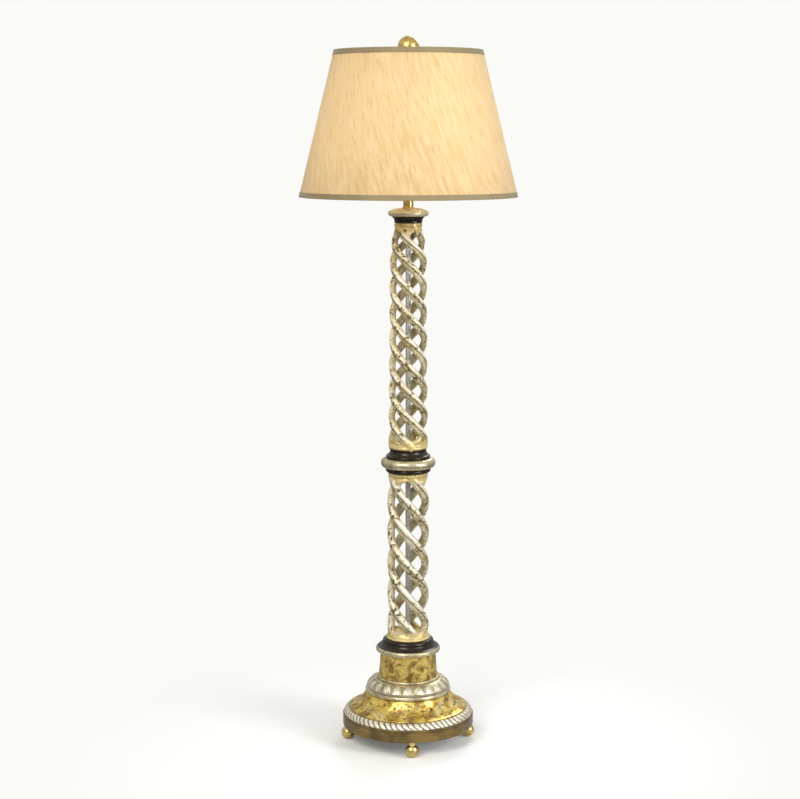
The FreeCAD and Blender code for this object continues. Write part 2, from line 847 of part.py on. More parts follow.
def draw_strand_section(sketch, circle, level, half_thick, half_high):
    """The upright ellipse in which a plane through the lamp's axis cuts a round strand."""
    centre = FreeCAD.Vector(circle.number, level.number, 0)
    top = FreeCAD.Vector(circle.number, (level + half_high).number, 0)
    side = FreeCAD.Vector((circle + half_thick).number, level.number, 0)
    oval = sketch.addGeometry(Part.Ellipse(top, side, centre))
    place_point(sketch, oval, 3, circle, level)
    sketch.exposeInternalGeometry(oval)
    long_axis, short_axis = oval + 1, oval + 2
    sketch.addConstraint(Sketcher.Constraint("Vertical", long_axis))
    for axis, value in ((long_axis, half_high * 2.0), (short_axis, half_thick * 2.0)):
        bind(sketch, Sketcher.Constraint("Distance", axis, value.number), value)


def add_winding(body, name, section, heading, pitch, height, cone):
    """One strand: its section stands at a heading from -Y towards +X and winds upwards."""
    circle, level, half_thick, half_high = section
    sketch = new_sketch(body, name + "_section")
    turn = heading - QUARTER_TURN
    sketch.AttachmentOffset = FreeCAD.Placement(
        FreeCAD.Vector(0, 0, 0), FreeCAD.Rotation(FreeCAD.Vector(0, 1, 0), turn.number)
    )
    sketch.setExpression("AttachmentOffset.Rotation.Angle", turn.text)
    draw_strand_section(sketch, circle, level, half_thick, half_high)
    winding = body.newObject("PartDesign::AdditiveHelix", name)
    winding.Profile = sketch
    winding.ReferenceAxis = (sketch, ["V_Axis"])
    winding.Mode = 0
    winding.setExpression("Pitch", pitch.text)
    winding.setExpression("Height", height.text)
    winding.setExpression("Angle", cone.text)
    winding.LeftHanded = True
    return winding


def add_bar(body, name, heading, base, tilt_axis, tilt, radius, length):
    """A round bar from base, leaning from +Z by tilt, in a frame turned to a heading from +X."""
    frame = body.newObject("PartDesign::CoordinateSystem", name + "_frame")
    frame.AttachmentSupport = [(origin_feature(body, "XY_Plane"), "")]
    frame.MapMode = "FlatFace"
    frame.AttachmentOffset = FreeCAD.Placement(
        FreeCAD.Vector(0, 0, 0), FreeCAD.Rotation(FreeCAD.Vector(0, 0, 1), heading.number)
    )
    frame.setExpression("AttachmentOffset.Rotation.Angle", heading.text)
    sketch = body.newObject("Sketcher::SketchObject", name + "_section")
    sketch.AttachmentSupport = [(frame, "")]
    sketch.MapMode = "ObjectXY"
    sketch.AttachmentOffset = FreeCAD.Placement(
        FreeCAD.Vector(*[size_of(value).number for value in base]),
        FreeCAD.Rotation(FreeCAD.Vector(*tilt_axis), tilt.number),
    )
    for direction, value in zip("xyz", base):
        sketch.setExpression("AttachmentOffset.Base." + direction, size_of(value).text)
    sketch.setExpression("AttachmentOffset.Rotation.Angle", tilt.text)
    draw_circle(sketch, 0.0, 0.0, radius)
    bar = body.newObject("PartDesign::Pad", name)
    bar.Profile = sketch
    bar.setExpression("Length", length.text)
    return bar


def add_arch(body, name, circle, low_level, low_heading):
    """A short bar across a twist's opening, from a strand up or down to a collar.

    It rises by arch_rise while its heading grows by arch_turn, against the strands' hand.
    """
    half_turn = S["arch_turn"] / 2.0
    half_span = circle * sine(half_turn)
    span = half_span * 2.0
    heading = low_heading + half_turn - QUARTER_TURN
    base = (circle * cosine(half_turn), half_span * -1.0, low_level)
    tilt = slope_angle(span, S["arch_rise"]) * -1.0
    length = root(span * span + S["arch_rise"] * S["arch_rise"])
    return add_bar(body, name, heading, base, (1, 0, 0), tilt, S["arch_radius"], length)


def make_twist(label, level, height, foot, head, strand, pitch, crossing):
    """A carved open column. foot and head are its collars' outlines and solid heights."""
    body = new_body(label, level)
    for end, (corners, _) in (("foot", foot), ("head", head)):
        sketch = new_sketch(body, "%s_%s_outline" % (label, end))
        draw_outline(sketch, corners)
        revolve(body, sketch)
    foot_circle, head_circle, half_thick, half_high = strand
    start = foot[1] - half_high - S["strand_cover"]
    end = height - head[1] + half_high + S["strand_cover"]
    run = end - start
    cone = slope_angle(head_circle - foot_circle, run)
    heading = (crossing - level - start) / pitch * 360.0
    section = (foot_circle, start, half_thick, half_high)
    strand_feature = add_winding(
        body, label + "_strand", section, heading, pitch, run, cone
    )
    rise = S["arch_rise"]
    arch_low = foot[1] - S["arch_radius"] / 2.0
    arch_high = height - head[1] + S["arch_radius"] / 2.0 - rise
    low_heading = (crossing - level - arch_low - rise) / pitch * 360.0 - S["arch_turn"]
    high_heading = (crossing - level - arch_high) / pitch * 360.0
    low_arch = add_arch(body, label + "_low_arch", foot_circle, arch_low, low_heading)
    high_arch = add_arch(body, label + "_high_arch", head_circle, arch_high, high_heading)
    ring_pattern(body, [strand_feature, low_arch, high_arch], S["strand_count"])
    trim_radius = foot_circle + half_high
    drill(body, trim_radius, half_high * 2.0, (0.0, 0.0, half_high * -2.0))
    trim_high = drill(body, trim_radius, half_high * 2.0, (0.0, 0.0, height))
    body.Tip = trim_high
    return body


def collar(ring_radius, ring_height, neck_radius, collar_height):
    """A foot collar's outline: a half-round ring below and a cone towards the strands."""
    return half_round(ring_radius, ring_height) + [
        (neck_radius, collar_height),
        (rod_hole, collar_height),
        (rod_hole, 0.0),
    ]


def turned_over(corners, total):
    """The same outline for a head collar: heights count down from the top of the column.

    The order is reversed so that the outline keeps its hand, and an edge's arc then belongs
    to the corner at its other end.
    """
    flipped = []
    for index, corner in enumerate(corners):
        following = corners[(index + 1) % len(corners)]
        flipped.append((corner[0], total - corner[1]) + tuple(following[2:]))
    flipped.reverse()
    return flipped


def make_lower_twist():
    height = S["lower_twist_height"]
    foot = collar(
        S["lower_foot_ring_radius"], S["lower_foot_ring_height"],
        S["lower_foot_neck_radius"], S["lower_foot_collar"],
    )
    head = collar(
        S["lower_head_ring_radius"], S["lower_head_ring_height"],
        S["lower_head_neck_radius"], S["lower_head_collar"],
    )
    strand = (
        S["lower_strand_circle"], S["lower_strand_circle"],
        S["lower_strand_half_thick"], S["lower_strand_half_high"],
    )
    return make_twist(
        "lower_twist", lower_level, height, (foot, S["lower_foot_collar"]),
        (turned_over(head, height), S["lower_head_collar"]), strand, S["lower_pitch"], S["lower_crossing"],
    )


def make_upper_twist():
    height = S["upper_twist_height"]
    foot = collar(
        S["upper_foot_ring_radius"], S["upper_foot_ring_height"],
        S["upper_foot_neck_radius"], S["upper_foot_collar"],
    )
    head = collar(
        S["upper_head_ring_radius"], S["upper_head_ring_height"],
        S["upper_head_neck_radius"], S["upper_head_collar"],
    )
    strand = (
        S["upper_foot_strand_circle"], S["upper_head_strand_circle"],
        S["upper_strand_half_thick"], S["upper_strand_half_high"],
    )
    return make_twist(
        "upper_twist", upper_level, height, (foot, S["upper_foot_collar"]),
        (turned_over(head, height), S["upper_head_collar"]), strand, S["upper_pitch"], S["upper_crossing"],
    )


# ---------------------------------------------------------------------------------------------
# Knop, cap and neck
# ---------------------------------------------------------------------------------------------


def make_knop_and_cap():
    turned("knop_foot_ring", knop_foot_level, (
        half_round(S["knop_foot_radius"], S["knop_foot_height"])
        + [(rod_hole, S["knop_foot_height"]), (rod_hole, 0.0)]
    ))
    turned("knop", knop_level, (
        half_round(S["knop_radius"], S["knop_height"])
        + [(rod_hole, S["knop_height"]), (rod_hole, 0.0)]
    ))
    foot_nose = S["cavetto_foot_height"] / 2.0
    turned("knop_cavetto", cavetto_level, [
        (rod_hole, 0.0),
        (S["cavetto_foot_radius"] - foot_nose, 0.0),
        (S["cavetto_foot_radius"], foot_nose, foot_nose, 1),
        (S["cavetto_foot_radius"] - foot_nose, S["cavetto_foot_height"], foot_nose, 1),
        (S["cavetto_top_radius"], S["cavetto_height"], S["cavetto_hollow"], -1),
        (rod_hole, S["cavetto_height"]),
    ])
    turned("cap_cove", cove_level, [
        (rod_hole, 0.0),
        (S["cove_foot_radius"], 0.0),
        (S["cove_top_radius"], S["cove_height"], S["cove_hollow"], -1),
        (rod_hole, S["cove_height"]),
    ])
    edge = S["dish_edge_height"] / 2.0
    turned("cap_dish", dish_level, [
        (rod_hole, 0.0),
        (S["dish_under_radius"], 0.0),
        (S["dish_radius"], edge, edge * 1.15, 1),
        (S["dish_top_radius"], S["dish_edge_height"], edge * 1.15, 1),
        (S["dish_seat_radius"], S["dish_height"], S["dish_radius"] * 1.6, 1),
        (rod_hole, S["dish_height"]),
    ])
    turned("neck_tube", neck_level, [
        (rod_hole, 0.0),
        (S["neck_foot_radius"], 0.0),
        (S["neck_foot_radius"], S["neck_foot_height"]),
        (S["neck_radius"], S["neck_foot_height"]),
        (S["neck_radius"], S["neck_height"]),
        (rod_hole, S["neck_height"]),
    ])


# ---------------------------------------------------------------------------------------------
# Centre rod, riser and their fasteners
# ---------------------------------------------------------------------------------------------

web_bottom = derived("web_bottom", well_top - S["ballast_web"])
washer_level = derived("washer_level", web_bottom - S["rod_washer_thick"])
nut_level = derived("nut_level", washer_level - S["rod_nut_thick"])
rod_bottom = derived("rod_bottom", nut_level - S["rod_below_nut"])
rod_top = derived("rod_top", cluster_level + S["rod_in_cluster"])
riser_bottom = derived("riser_bottom", cluster_top - S["riser_in_cluster"])


def tube(label, level, outer, inner, height):
    return turned(label, level, [(inner, 0.0), (outer, 0.0), (outer, height), (inner, height)])


def make_rods():
    rod_thread = S["rod_radius"] + S["thread_clearance"]
    riser_thread = S["riser_radius"] + S["thread_clearance"]
    tube("centre_rod", rod_bottom, S["rod_radius"], S["rod_bore_radius"], rod_top - rod_bottom)
    tube(
        "rod_washer", washer_level, S["rod_washer_radius"], rod_thread, S["rod_washer_thick"]
    )
    hexagon_nut("rod_nut", nut_level, S["rod_nut_across"], S["rod_nut_thick"], rod_thread)
    hexagon_nut(
        "neck_locknut", locknut_level, S["locknut_across"], S["locknut_thick"], rod_thread
    )
    turned("riser_rod", riser_bottom, [
        (0.0, 0.0),
        (S["riser_radius"], 0.0),
        (S["riser_radius"], riser_top - riser_bottom),
        (0.0, riser_top - riser_bottom),
    ])
    hexagon_nut(
        "riser_locknut", cluster_top, S["riser_nut_across"], S["riser_nut_thick"], riser_thread
    )
    hexagon_nut(
        "shade_seat_nut", seat_nut_level, S["seat_nut_across"], S["seat_nut_thick"], riser_thread
    )
    tube(
        "shade_seat_washer", seat_washer_level, S["seat_washer_radius"], riser_thread,
        S["seat_washer_thick"],
    )


# ---------------------------------------------------------------------------------------------
# Light cluster: a turned body with two sockets leaning outwards
# ---------------------------------------------------------------------------------------------

SIDES = (("left", -1.0), ("right", 1.0))

shell_start = derived("shell_start", S["cap_start"] + S["cap_height"])
switch_start = derived("switch_start", shell_start + S["sleeve_gap"])
switch_top = derived("switch_top", switch_start + S["switch_height"])
screw_shell_inner = derived("screw_shell_inner", S["lamp_base_radius"] + S["lamp_fit_clearance"])
sleeve_outer = derived("sleeve_outer", S["shell_radius"] - S["shell_wall"] - S["sleeve_gap"])
sleeve_inner = derived("sleeve_inner", sleeve_outer - S["sleeve_wall"])
lamp_start = derived("lamp_start", switch_top + S["lamp_fit_clearance"])
key_level = derived("key_level", shell_start + S["key_height"])


def lean(body, side):
    """Set a piece that was made upright on a socket's own axis, which leans to one side."""
    body.Placement = FreeCAD.Placement(
        FreeCAD.Vector(0, 0, 0),
        FreeCAD.Rotation(FreeCAD.Vector(0, 1, 0), side * S["socket_tilt"].number),
    )
    body.setExpression("Placement.Rotation.Angle", (S["socket_tilt"] * side).text)
    body.setExpression("Placement.Base.z", cluster_centre.text)
    return body


def leaning(label, side, corners):
    return lean(turned(label, None, corners), side)


def make_cluster_body():
    """A turned ball on a short foot, bored below for the rod, above for the riser and twice aside."""
    ball = S["cluster_ball_radius"]
    centre = S["cluster_ball_height"]
    foot = S["cluster_foot_radius"]
    head = S["cluster_head_radius"]
    ball_start = centre - root(ball * ball - foot * foot)
    ball_end = centre + root(ball * ball - head * head)
    rod_thread = S["rod_radius"] + S["thread_clearance"]
    riser_thread = S["riser_radius"] + S["thread_clearance"]
    riser_seat = S["cluster_height"] - S["riser_in_cluster"]
    body = turned("cluster_body", cluster_level, [
        (rod_thread, 0.0),
        (foot, 0.0),
        (foot, ball_start),
        (ball, centre, ball, 1),
        (head, ball_end, ball, 1),
        (head, S["cluster_height"]),
        (riser_thread, S["cluster_height"]),
        (riser_thread, riser_seat),
        (S["rod_bore_radius"], riser_seat),
        (S["rod_bore_radius"], S["rod_in_cluster"]),
        (rod_thread, S["rod_in_cluster"]),
    ])
    hole = S["nipple_radius"] + S["thread_clearance"]
    start = S["nipple_hole_start"]
    for _, side in SIDES:
        turn = S["socket_tilt"] * side
        aside = start * sine(turn) * -1.0
        drill(body, hole, ball, (0.0, aside, centre + start * cosine(turn)), (1, 0, 0), turn)
    body.Placement.Rotation = FreeCAD.Rotation(FreeCAD.Vector(0, 0, 1), QUARTER_TURN)
    return body


def make_nipples():
    """The two short threaded tubes that carry the sockets, kept as one group."""
    length = S["cap_start"] + S["nipple_in_cap"] - S["nipple_start"]
    nipples = []
    for name, side in SIDES:
        outside = doc.addObject("Part::Cylinder", "nipple_outside_" + name)
        outside.setExpression("Radius", S["nipple_radius"].text)
        bore = doc.addObject("Part::Cylinder", "nipple_bore_" + name)
        bore.setExpression("Radius", S["nipple_bore_radius"].text)
        for cylinder in (outside, bore):
            cylinder.setExpression("Height", length.text)
            cylinder.setExpression("Placement.Base.z", S["nipple_start"].text)
        nipple = doc.addObject("Part::Cut", "nipple_" + name)
        nipple.Base = outside
        nipple.Tool = bore
        nipples.append(lean(nipple, side))
    group = doc.addObject("Part::Compound", "socket_nipples")
    group.Links = nipples
    return keep(group, "socket_nipples")


def make_socket(name, side):
    """One keyed socket: cap, shell, insulating sleeve, switch block, screw shell and key."""
    nipple_hole = S["nipple_radius"] + S["thread_clearance"]
    cap_start = S["cap_start"]
    cap_neck_top = cap_start + S["cap_neck_height"]
    wall = S["cap_wall"]
    shell_inner = S["shell_radius"] - S["shell_wall"]
    dome = S["shell_radius"]
    leaning("socket_cap_" + name, side, [
        (nipple_hole, cap_start),
        (S["cap_neck_radius"], cap_start),
        (S["cap_neck_radius"], cap_neck_top),
        (S["shell_radius"], shell_start, dome, 1),
        (S["shell_radius"] - wall, shell_start),
        (S["cap_neck_radius"] - wall, cap_neck_top + wall, dome - wall, -1),
        (nipple_hole, cap_neck_top + wall),
    ])
    shell = leaning("socket_shell_" + name, side, [
        (shell_inner, shell_start),
        (S["shell_radius"], shell_start),
        (S["shell_radius"], shell_start + S["shell_height"]),
        (shell_inner, shell_start + S["shell_height"]),
    ])
    sleeve = leaning("socket_sleeve_" + name, side, [
        (sleeve_inner, switch_start),
        (sleeve_outer, switch_start),
        (sleeve_outer, switch_start + S["sleeve_height"]),
        (sleeve_inner, switch_start + S["sleeve_height"]),
    ])
    block_radius = sleeve_inner - S["sleeve_gap"]
    switch = leaning("socket_switch_" + name, side, [
        (0.0, switch_start),
        (block_radius, switch_start),
        (block_radius, switch_top),
        (0.0, switch_top),
    ])
    leaning("screw_shell_" + name, side, [
        (screw_shell_inner, switch_top),
        (screw_shell_inner + S["screw_shell_wall"], switch_top),
        (screw_shell_inner + S["screw_shell_wall"], switch_top + S["screw_shell_height"]),
        (screw_shell_inner, switch_top + S["screw_shell_height"]),
    ])
    shaft_hole = S["key_shaft_radius"] + S["lamp_fit_clearance"]
    hole_start = block_radius - S["key_shaft_depth"] - S["lamp_fit_clearance"]
    for piece in (shell, sleeve, switch):
        base = (0.0, hole_start * -1.0, key_level)
        drill(piece, shaft_hole, S["shell_radius"], base, (1, 0, 0), QUARTER_TURN)
    make_key(name, side, block_radius)


def make_key(name, side, block_radius):
    """The turn key: a shaft that enters the switch block, a round hub and a flat oval blade."""
    shaft_start = block_radius - S["key_shaft_depth"]
    hub_start = S["shell_radius"] + S["key_stand_off"]
    blade_start = hub_start + S["key_hub_length"]
    blade_end = blade_start + S["key_blade_length"]
    body = new_body("key_" + name)
    outline = new_sketch(body, "key_outline_" + name)
    draw_outline(outline, [
        (0.0, shaft_start),
        (S["key_shaft_radius"], shaft_start),
        (S["key_shaft_radius"], hub_start),
        (S["key_hub_radius"], hub_start),
        (S["key_hub_radius"], blade_start),
        (0.0, blade_start),
    ])
    revolve(body, outline)
    half = S["key_blade_width"] / 2.0
    corner = S["key_blade_length"] / 2.0
    blade = new_sketch(body, "key_blade_" + name)
    root_half = S["key_hub_radius"]
    root_level = blade_start - 1.0
    flank = corner * 1.4
    shoulder = corner * 1.1
    draw_outline(blade, [
        (root_half, root_level),
        (half, blade_start + corner, flank, 1),
        (half * 0.5, blade_end, shoulder, 1),
        (half * -0.5, blade_end),
        (half * -1.0, blade_start + corner, shoulder, 1),
        (root_half * -1.0, root_level, flank, 1),
    ])
    pad = body.newObject("PartDesign::Pad", "key_blade_pad_" + name)
    pad.Profile = blade
    pad.Midplane = True
    pad.setExpression("Length", S["key_blade_thick"].text)
    body.Tip = pad
    # the key is drawn upright and laid along -Y; its turning axis crosses the socket's axis
    body.Placement = FreeCAD.Placement(
        FreeCAD.Vector(0, 0, 0), FreeCAD.Rotation(FreeCAD.Vector(1, 0, 0), QUARTER_TURN)
    )
    across = key_level * sine(S["socket_tilt"]) * side
    up = cluster_centre + key_level * cosine(S["socket_tilt"])
    body.setExpression("Placement.Base.x", across.text)
    body.setExpression("Placement.Base.z", up.text)
    return body


def make_bulb(name, side):
    """A pear-shaped bulb: its screw base and its open-necked glass."""
    base_radius = S["lamp_base_radius"]
    tip_top = lamp_start + S["lamp_tip_height"]
    cone_top = tip_top + S["lamp_cone_height"]
    base_top = lamp_start + S["lamp_base_height"]
    seat = S["bulb_neck_height"]
    glass_hole = S["bulb_neck_radius"] + S["thread_clearance"]
    leaning("bulb_base_" + name, side, [
        (0.0, lamp_start),
        (S["lamp_tip_radius"], lamp_start),
        (S["lamp_tip_radius"], tip_top),
        (base_radius, cone_top),
        (base_radius, base_top),
        (glass_hole, base_top),
        (glass_hole, base_top - seat),
        (0.0, base_top - seat),
    ])
    neck = S["bulb_neck_radius"]
    round_radius = S["bulb_radius"]
    wall = S["bulb_wall"]
    foot = base_top - seat + S["thread_clearance"]
    centre = base_top + S["bulb_reach"] - round_radius
    neck_top = base_top + S["thread_clearance"]
    flank = round_radius * 1.9
    leaning("bulb_glass_" + name, side, [
        (neck - wall, foot),
        (neck, foot),
        (neck, neck_top),
        (round_radius, centre, flank, 1),
        (0.0, centre + round_radius, round_radius, 1),
        (0.0, centre + round_radius - wall),
        (round_radius - wall, centre, round_radius - wall, -1),
        (neck - wall, neck_top, flank - wall, -1),
    ])


# ---------------------------------------------------------------------------------------------
# Shade, spider and finial
# ---------------------------------------------------------------------------------------------

shade_lean = derived(
    "shade_lean", (S["shade_bottom_radius"] - S["shade_top_radius"]) / S["shade_height"]
)


def shade_radius(height):
    """The fabric's outer radius at a height above the shade's lower edge."""
    return S["shade_bottom_radius"] - shade_lean * height


def cone_wall(label, outset, thick, low, high):
    """A sloping ring that follows the shade, its outside outset from the fabric's outside."""
    outer_low = shade_radius(low) + outset
    outer_high = shade_radius(high) + outset
    return turned(label, S["shade_bottom_level"], [
        (outer_low - thick, low),
        (outer_low, low),
        (outer_high, high),
        (outer_high - thick, high),
    ])


def make_shade_cloth():
    height = S["shade_height"]
    cone_wall("shade_fabric", size_of(0.0), S["fabric_thick"], size_of(0.0), height)
    lining_outset = (S["fabric_thick"] + S["lining_gap"]) * -1.0
    cone_wall("shade_lining", lining_outset, S["lining_thick"], size_of(0.0), height)
    depth = S["fabric_thick"] + S["lining_gap"] + S["lining_thick"]
    gap = S["trim_gap"]
    outset = gap + S["trim_thick"]
    low = S["trim_height"]
    high = height - S["trim_height"]
    turned("bottom_trim", S["shade_bottom_level"], [
        (S["shade_bottom_radius"] - depth, S["trim_thick"] * -1.0),
        (S["shade_bottom_radius"] + outset, S["trim_thick"] * -1.0),
        (shade_radius(low) + outset, low),
        (shade_radius(low) + gap, low),
        (S["shade_bottom_radius"] + gap, gap * -1.0),
        (S["shade_bottom_radius"] - depth, gap * -1.0),
    ])
    turned("top_trim", S["shade_bottom_level"], [
        (S["shade_top_radius"] - depth, height + gap),
        (S["shade_top_radius"] + gap, height + gap),
        (shade_radius(high) + gap, high),
        (shade_radius(high) + outset, high),
        (S["shade_top_radius"] + outset, height + S["trim_thick"]),
        (S["shade_top_radius"] - depth, height + S["trim_thick"]),
    ])


def wire_circle(height):
    """The radius on which a frame wire lies against the lining's inside."""
    depth = S["fabric_thick"] + S["lining_gap"] + S["lining_thick"] + S["wire_gap"]
    return shade_radius(height) - depth - S["wire_radius"] * 1.03


def make_shade_frame():
    """The wire ring in the lower edge, and the spider welded to the ring in the upper edge."""
    low = S["wire_inset"]
    body = new_body("shade_bottom_ring", S["shade_bottom_level"])
    sketch = new_sketch(body, "bottom_ring_section")
    draw_circle(sketch, wire_circle(low), low, S["wire_radius"])
    revolve(body, sketch)

    ring_height = S["shade_height"] - S["wire_inset"]
    ring_radius = wire_circle(ring_height)
    ring_up = ring_height + S["shade_bottom_level"] - hub_level
    hole = S["riser_radius"] + S["hub_clearance"]
    spider = turned("spider", hub_level, [
        (hole, 0.0),
        (S["hub_radius"], 0.0),
        (S["hub_radius"], S["hub_thick"]),
        (hole, S["hub_thick"]),
    ])
    arm_start = (hole + S["hub_radius"]) / 2.0
    arm_up = S["hub_thick"] / 2.0
    rise = ring_up - arm_up
    run = ring_radius - arm_start
    tilt = size_of(QUARTER_TURN) - slope_angle(rise, run)
    length = root(rise * rise + run * run)
    arm = add_bar(
        spider, "spider_arm", size_of(0.0), (arm_start, 0.0, arm_up), (0, 1, 0), tilt,
        S["spider_arm_radius"], length,
    )
    wire = new_sketch(spider, "top_ring_section")
    draw_circle(wire, ring_radius, ring_up, S["wire_radius"])
    ring_pattern(spider, [arm], S["spider_arm_count"])
    revolve(spider, wire)


def make_finial():
    """A turned ball finial with a blind hole for the riser's thread."""
    ball = S["finial_ball_radius"]
    neck = S["finial_neck_radius"]
    centre = S["finial_ball_level"] - finial_level
    hole = S["riser_radius"] + S["finial_bore_clearance"]
    hole_top = S["riser_in_finial"] + S["finial_bore_spare"]
    turned("finial", finial_level, [
        (hole, 0.0),
        (S["finial_foot_radius"], 0.0),
        (S["finial_foot_radius"], S["finial_foot_height"] * 0.6),
        (neck, S["finial_foot_height"]),
        (neck, centre - root(ball * ball - neck * neck)),
        (ball, centre, ball, 1),
        (0.0, centre + ball, ball, 1),
        (0.0, hole_top),
        (hole, hole_top),
    ])


# ---------------------------------------------------------------------------------------------
# The whole lamp
# ---------------------------------------------------------------------------------------------


def build():
    for index in range(len(FOOT_NAMES)):
        make_ball_foot(index)
    make_foot_studs()
    make_base_plate()
    make_cord_bushing()
    make_ballast()
    make_cover()
    make_cover_screws()
    make_base_rings()
    make_lower_twist()
    make_upper_twist()
    make_knop_and_cap()
    make_rods()
    make_cluster_body()
    make_nipples()
    for name, side in SIDES:
        make_socket(name, side)
        make_bulb(name, side)
    make_shade_cloth()
    make_shade_frame()
    make_finial()
    doc.recompute()


def check():
    """Stop before anything is written if an object failed or a sub-part isn't sound."""
    for item in doc.Objects:
        faults = [word for word in item.State if word in ("Invalid", "Error")]
        if faults:
            raise RuntimeError("%s: %s" % (item.Label, ", ".join(faults)))
    for piece in SUBPARTS:
        if piece.Shape.isNull() or not piece.Shape.isValid():
            raise RuntimeError(piece.Label + ": the shape is empty or not valid")


def write():
    for piece in SUBPARTS:
        piece.Shape.exportStep("parts/" + piece.Label + ".step")
        print("%-22s %10.0f mm3, %d solid" % (piece.Label, piece.Shape.Volume, len(piece.Shape.Solids)))


build()
check()
write()
print(len(SUBPARTS), "sub-parts")
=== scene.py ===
"""Looks of a carved and gilded candlestick floor lamp, dressed over its CAD frame.

Lengths in this file are millimetres and are divided by MM where they reach a mesh.
Headings are degrees round the column, from -Y (the front) towards +X.
"""

import json
import math

import bmesh
import bpy
import numpy as np
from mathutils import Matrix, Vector


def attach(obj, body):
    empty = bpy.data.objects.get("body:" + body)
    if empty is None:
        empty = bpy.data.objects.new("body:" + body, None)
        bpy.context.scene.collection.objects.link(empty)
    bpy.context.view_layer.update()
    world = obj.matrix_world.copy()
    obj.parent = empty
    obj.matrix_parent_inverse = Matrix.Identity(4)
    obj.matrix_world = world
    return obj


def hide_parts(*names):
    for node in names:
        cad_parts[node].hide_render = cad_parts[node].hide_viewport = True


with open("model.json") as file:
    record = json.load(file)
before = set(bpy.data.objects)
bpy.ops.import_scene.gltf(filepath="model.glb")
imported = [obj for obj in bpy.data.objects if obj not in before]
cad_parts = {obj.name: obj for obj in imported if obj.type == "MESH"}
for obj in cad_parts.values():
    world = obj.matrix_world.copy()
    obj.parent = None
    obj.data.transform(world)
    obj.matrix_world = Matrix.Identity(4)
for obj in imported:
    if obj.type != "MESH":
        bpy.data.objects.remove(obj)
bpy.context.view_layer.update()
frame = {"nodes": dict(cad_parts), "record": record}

MM = 1000.0


# ----------------------------------------------------------------------------------------------
# Colours and shader nodes
# ----------------------------------------------------------------------------------------------


def paint(code):
    """An sRGB hex colour as linear red, green, blue and a full alpha."""
    parts = [int(code[i:i + 2], 16) / 255.0 for i in (1, 3, 5)]
    linear = [p / 12.92 if p <= 0.04045 else ((p + 0.055) / 1.055) ** 2.4 for p in parts]
    return (*linear, 1.0)


def repeat(size_mm):
    """A texture scale, per metre, for a pattern that repeats about every size_mm."""
    return MM / size_mm


def add(tree, kind, sockets=None, **settings):
    """Add a shader node, apply its settings, then fill its sockets with values or links."""
    node = tree.nodes.new(kind)
    for name, value in settings.items():
        setattr(node, name, value)
    for name, value in (sockets or {}).items():
        socket = node.inputs[name]
        if isinstance(value, bpy.types.NodeSocket):
            tree.links.new(value, socket)
        else:
            socket.default_value = value
    return node


def blend_colours(tree, amount, low, high):
    """Mix two colours, each a value or a socket, by an amount between 0 and 1."""
    node = add(tree, "ShaderNodeMix", {0: amount, 6: low, 7: high}, data_type="RGBA")
    return node.outputs[2]


def step_between(tree, value, low, high, out_low=0.0, out_high=1.0):
    """Map a value from low..high to out_low..out_high, held level outside."""
    sockets = {0: value, 1: low, 2: high, 3: out_low, 4: out_high}
    return add(tree, "ShaderNodeMapRange", sockets, interpolation_type="SMOOTHSTEP").outputs[0]


def new_finish(name):
    """An empty material with a Principled shader joined to its output."""
    material = bpy.data.materials.new(name)
    material.use_nodes = True
    tree = material.node_tree
    tree.nodes.clear()
    shader = add(tree, "ShaderNodeBsdfPrincipled")
    add(tree, "ShaderNodeOutputMaterial", {"Surface": shader.outputs[0]})
    return material, tree, shader


def speckle(tree, place, size_mm, detail=3.0, rough=0.55, bend=0.0):
    """Cloudy noise about size_mm across, as a socket from 0 to 1."""
    sockets = {
        "Vector": place, "Scale": repeat(size_mm), "Detail": detail,
        "Roughness": rough, "Distortion": bend,
    }
    return add(tree, "ShaderNodeTexNoise", sockets).outputs[0]


def emboss(tree, height, depth_mm, strength=1.0, under=None):
    """A bump from a 0 to 1 height, depth_mm deep, on top of another bump if there is one."""
    sockets = {"Height": height, "Distance": depth_mm / MM, "Strength": strength}
    if under is not None:
        sockets["Normal"] = under
    return add(tree, "ShaderNodeBump", sockets).outputs[0]


# ----------------------------------------------------------------------------------------------
# Finishes
# ----------------------------------------------------------------------------------------------


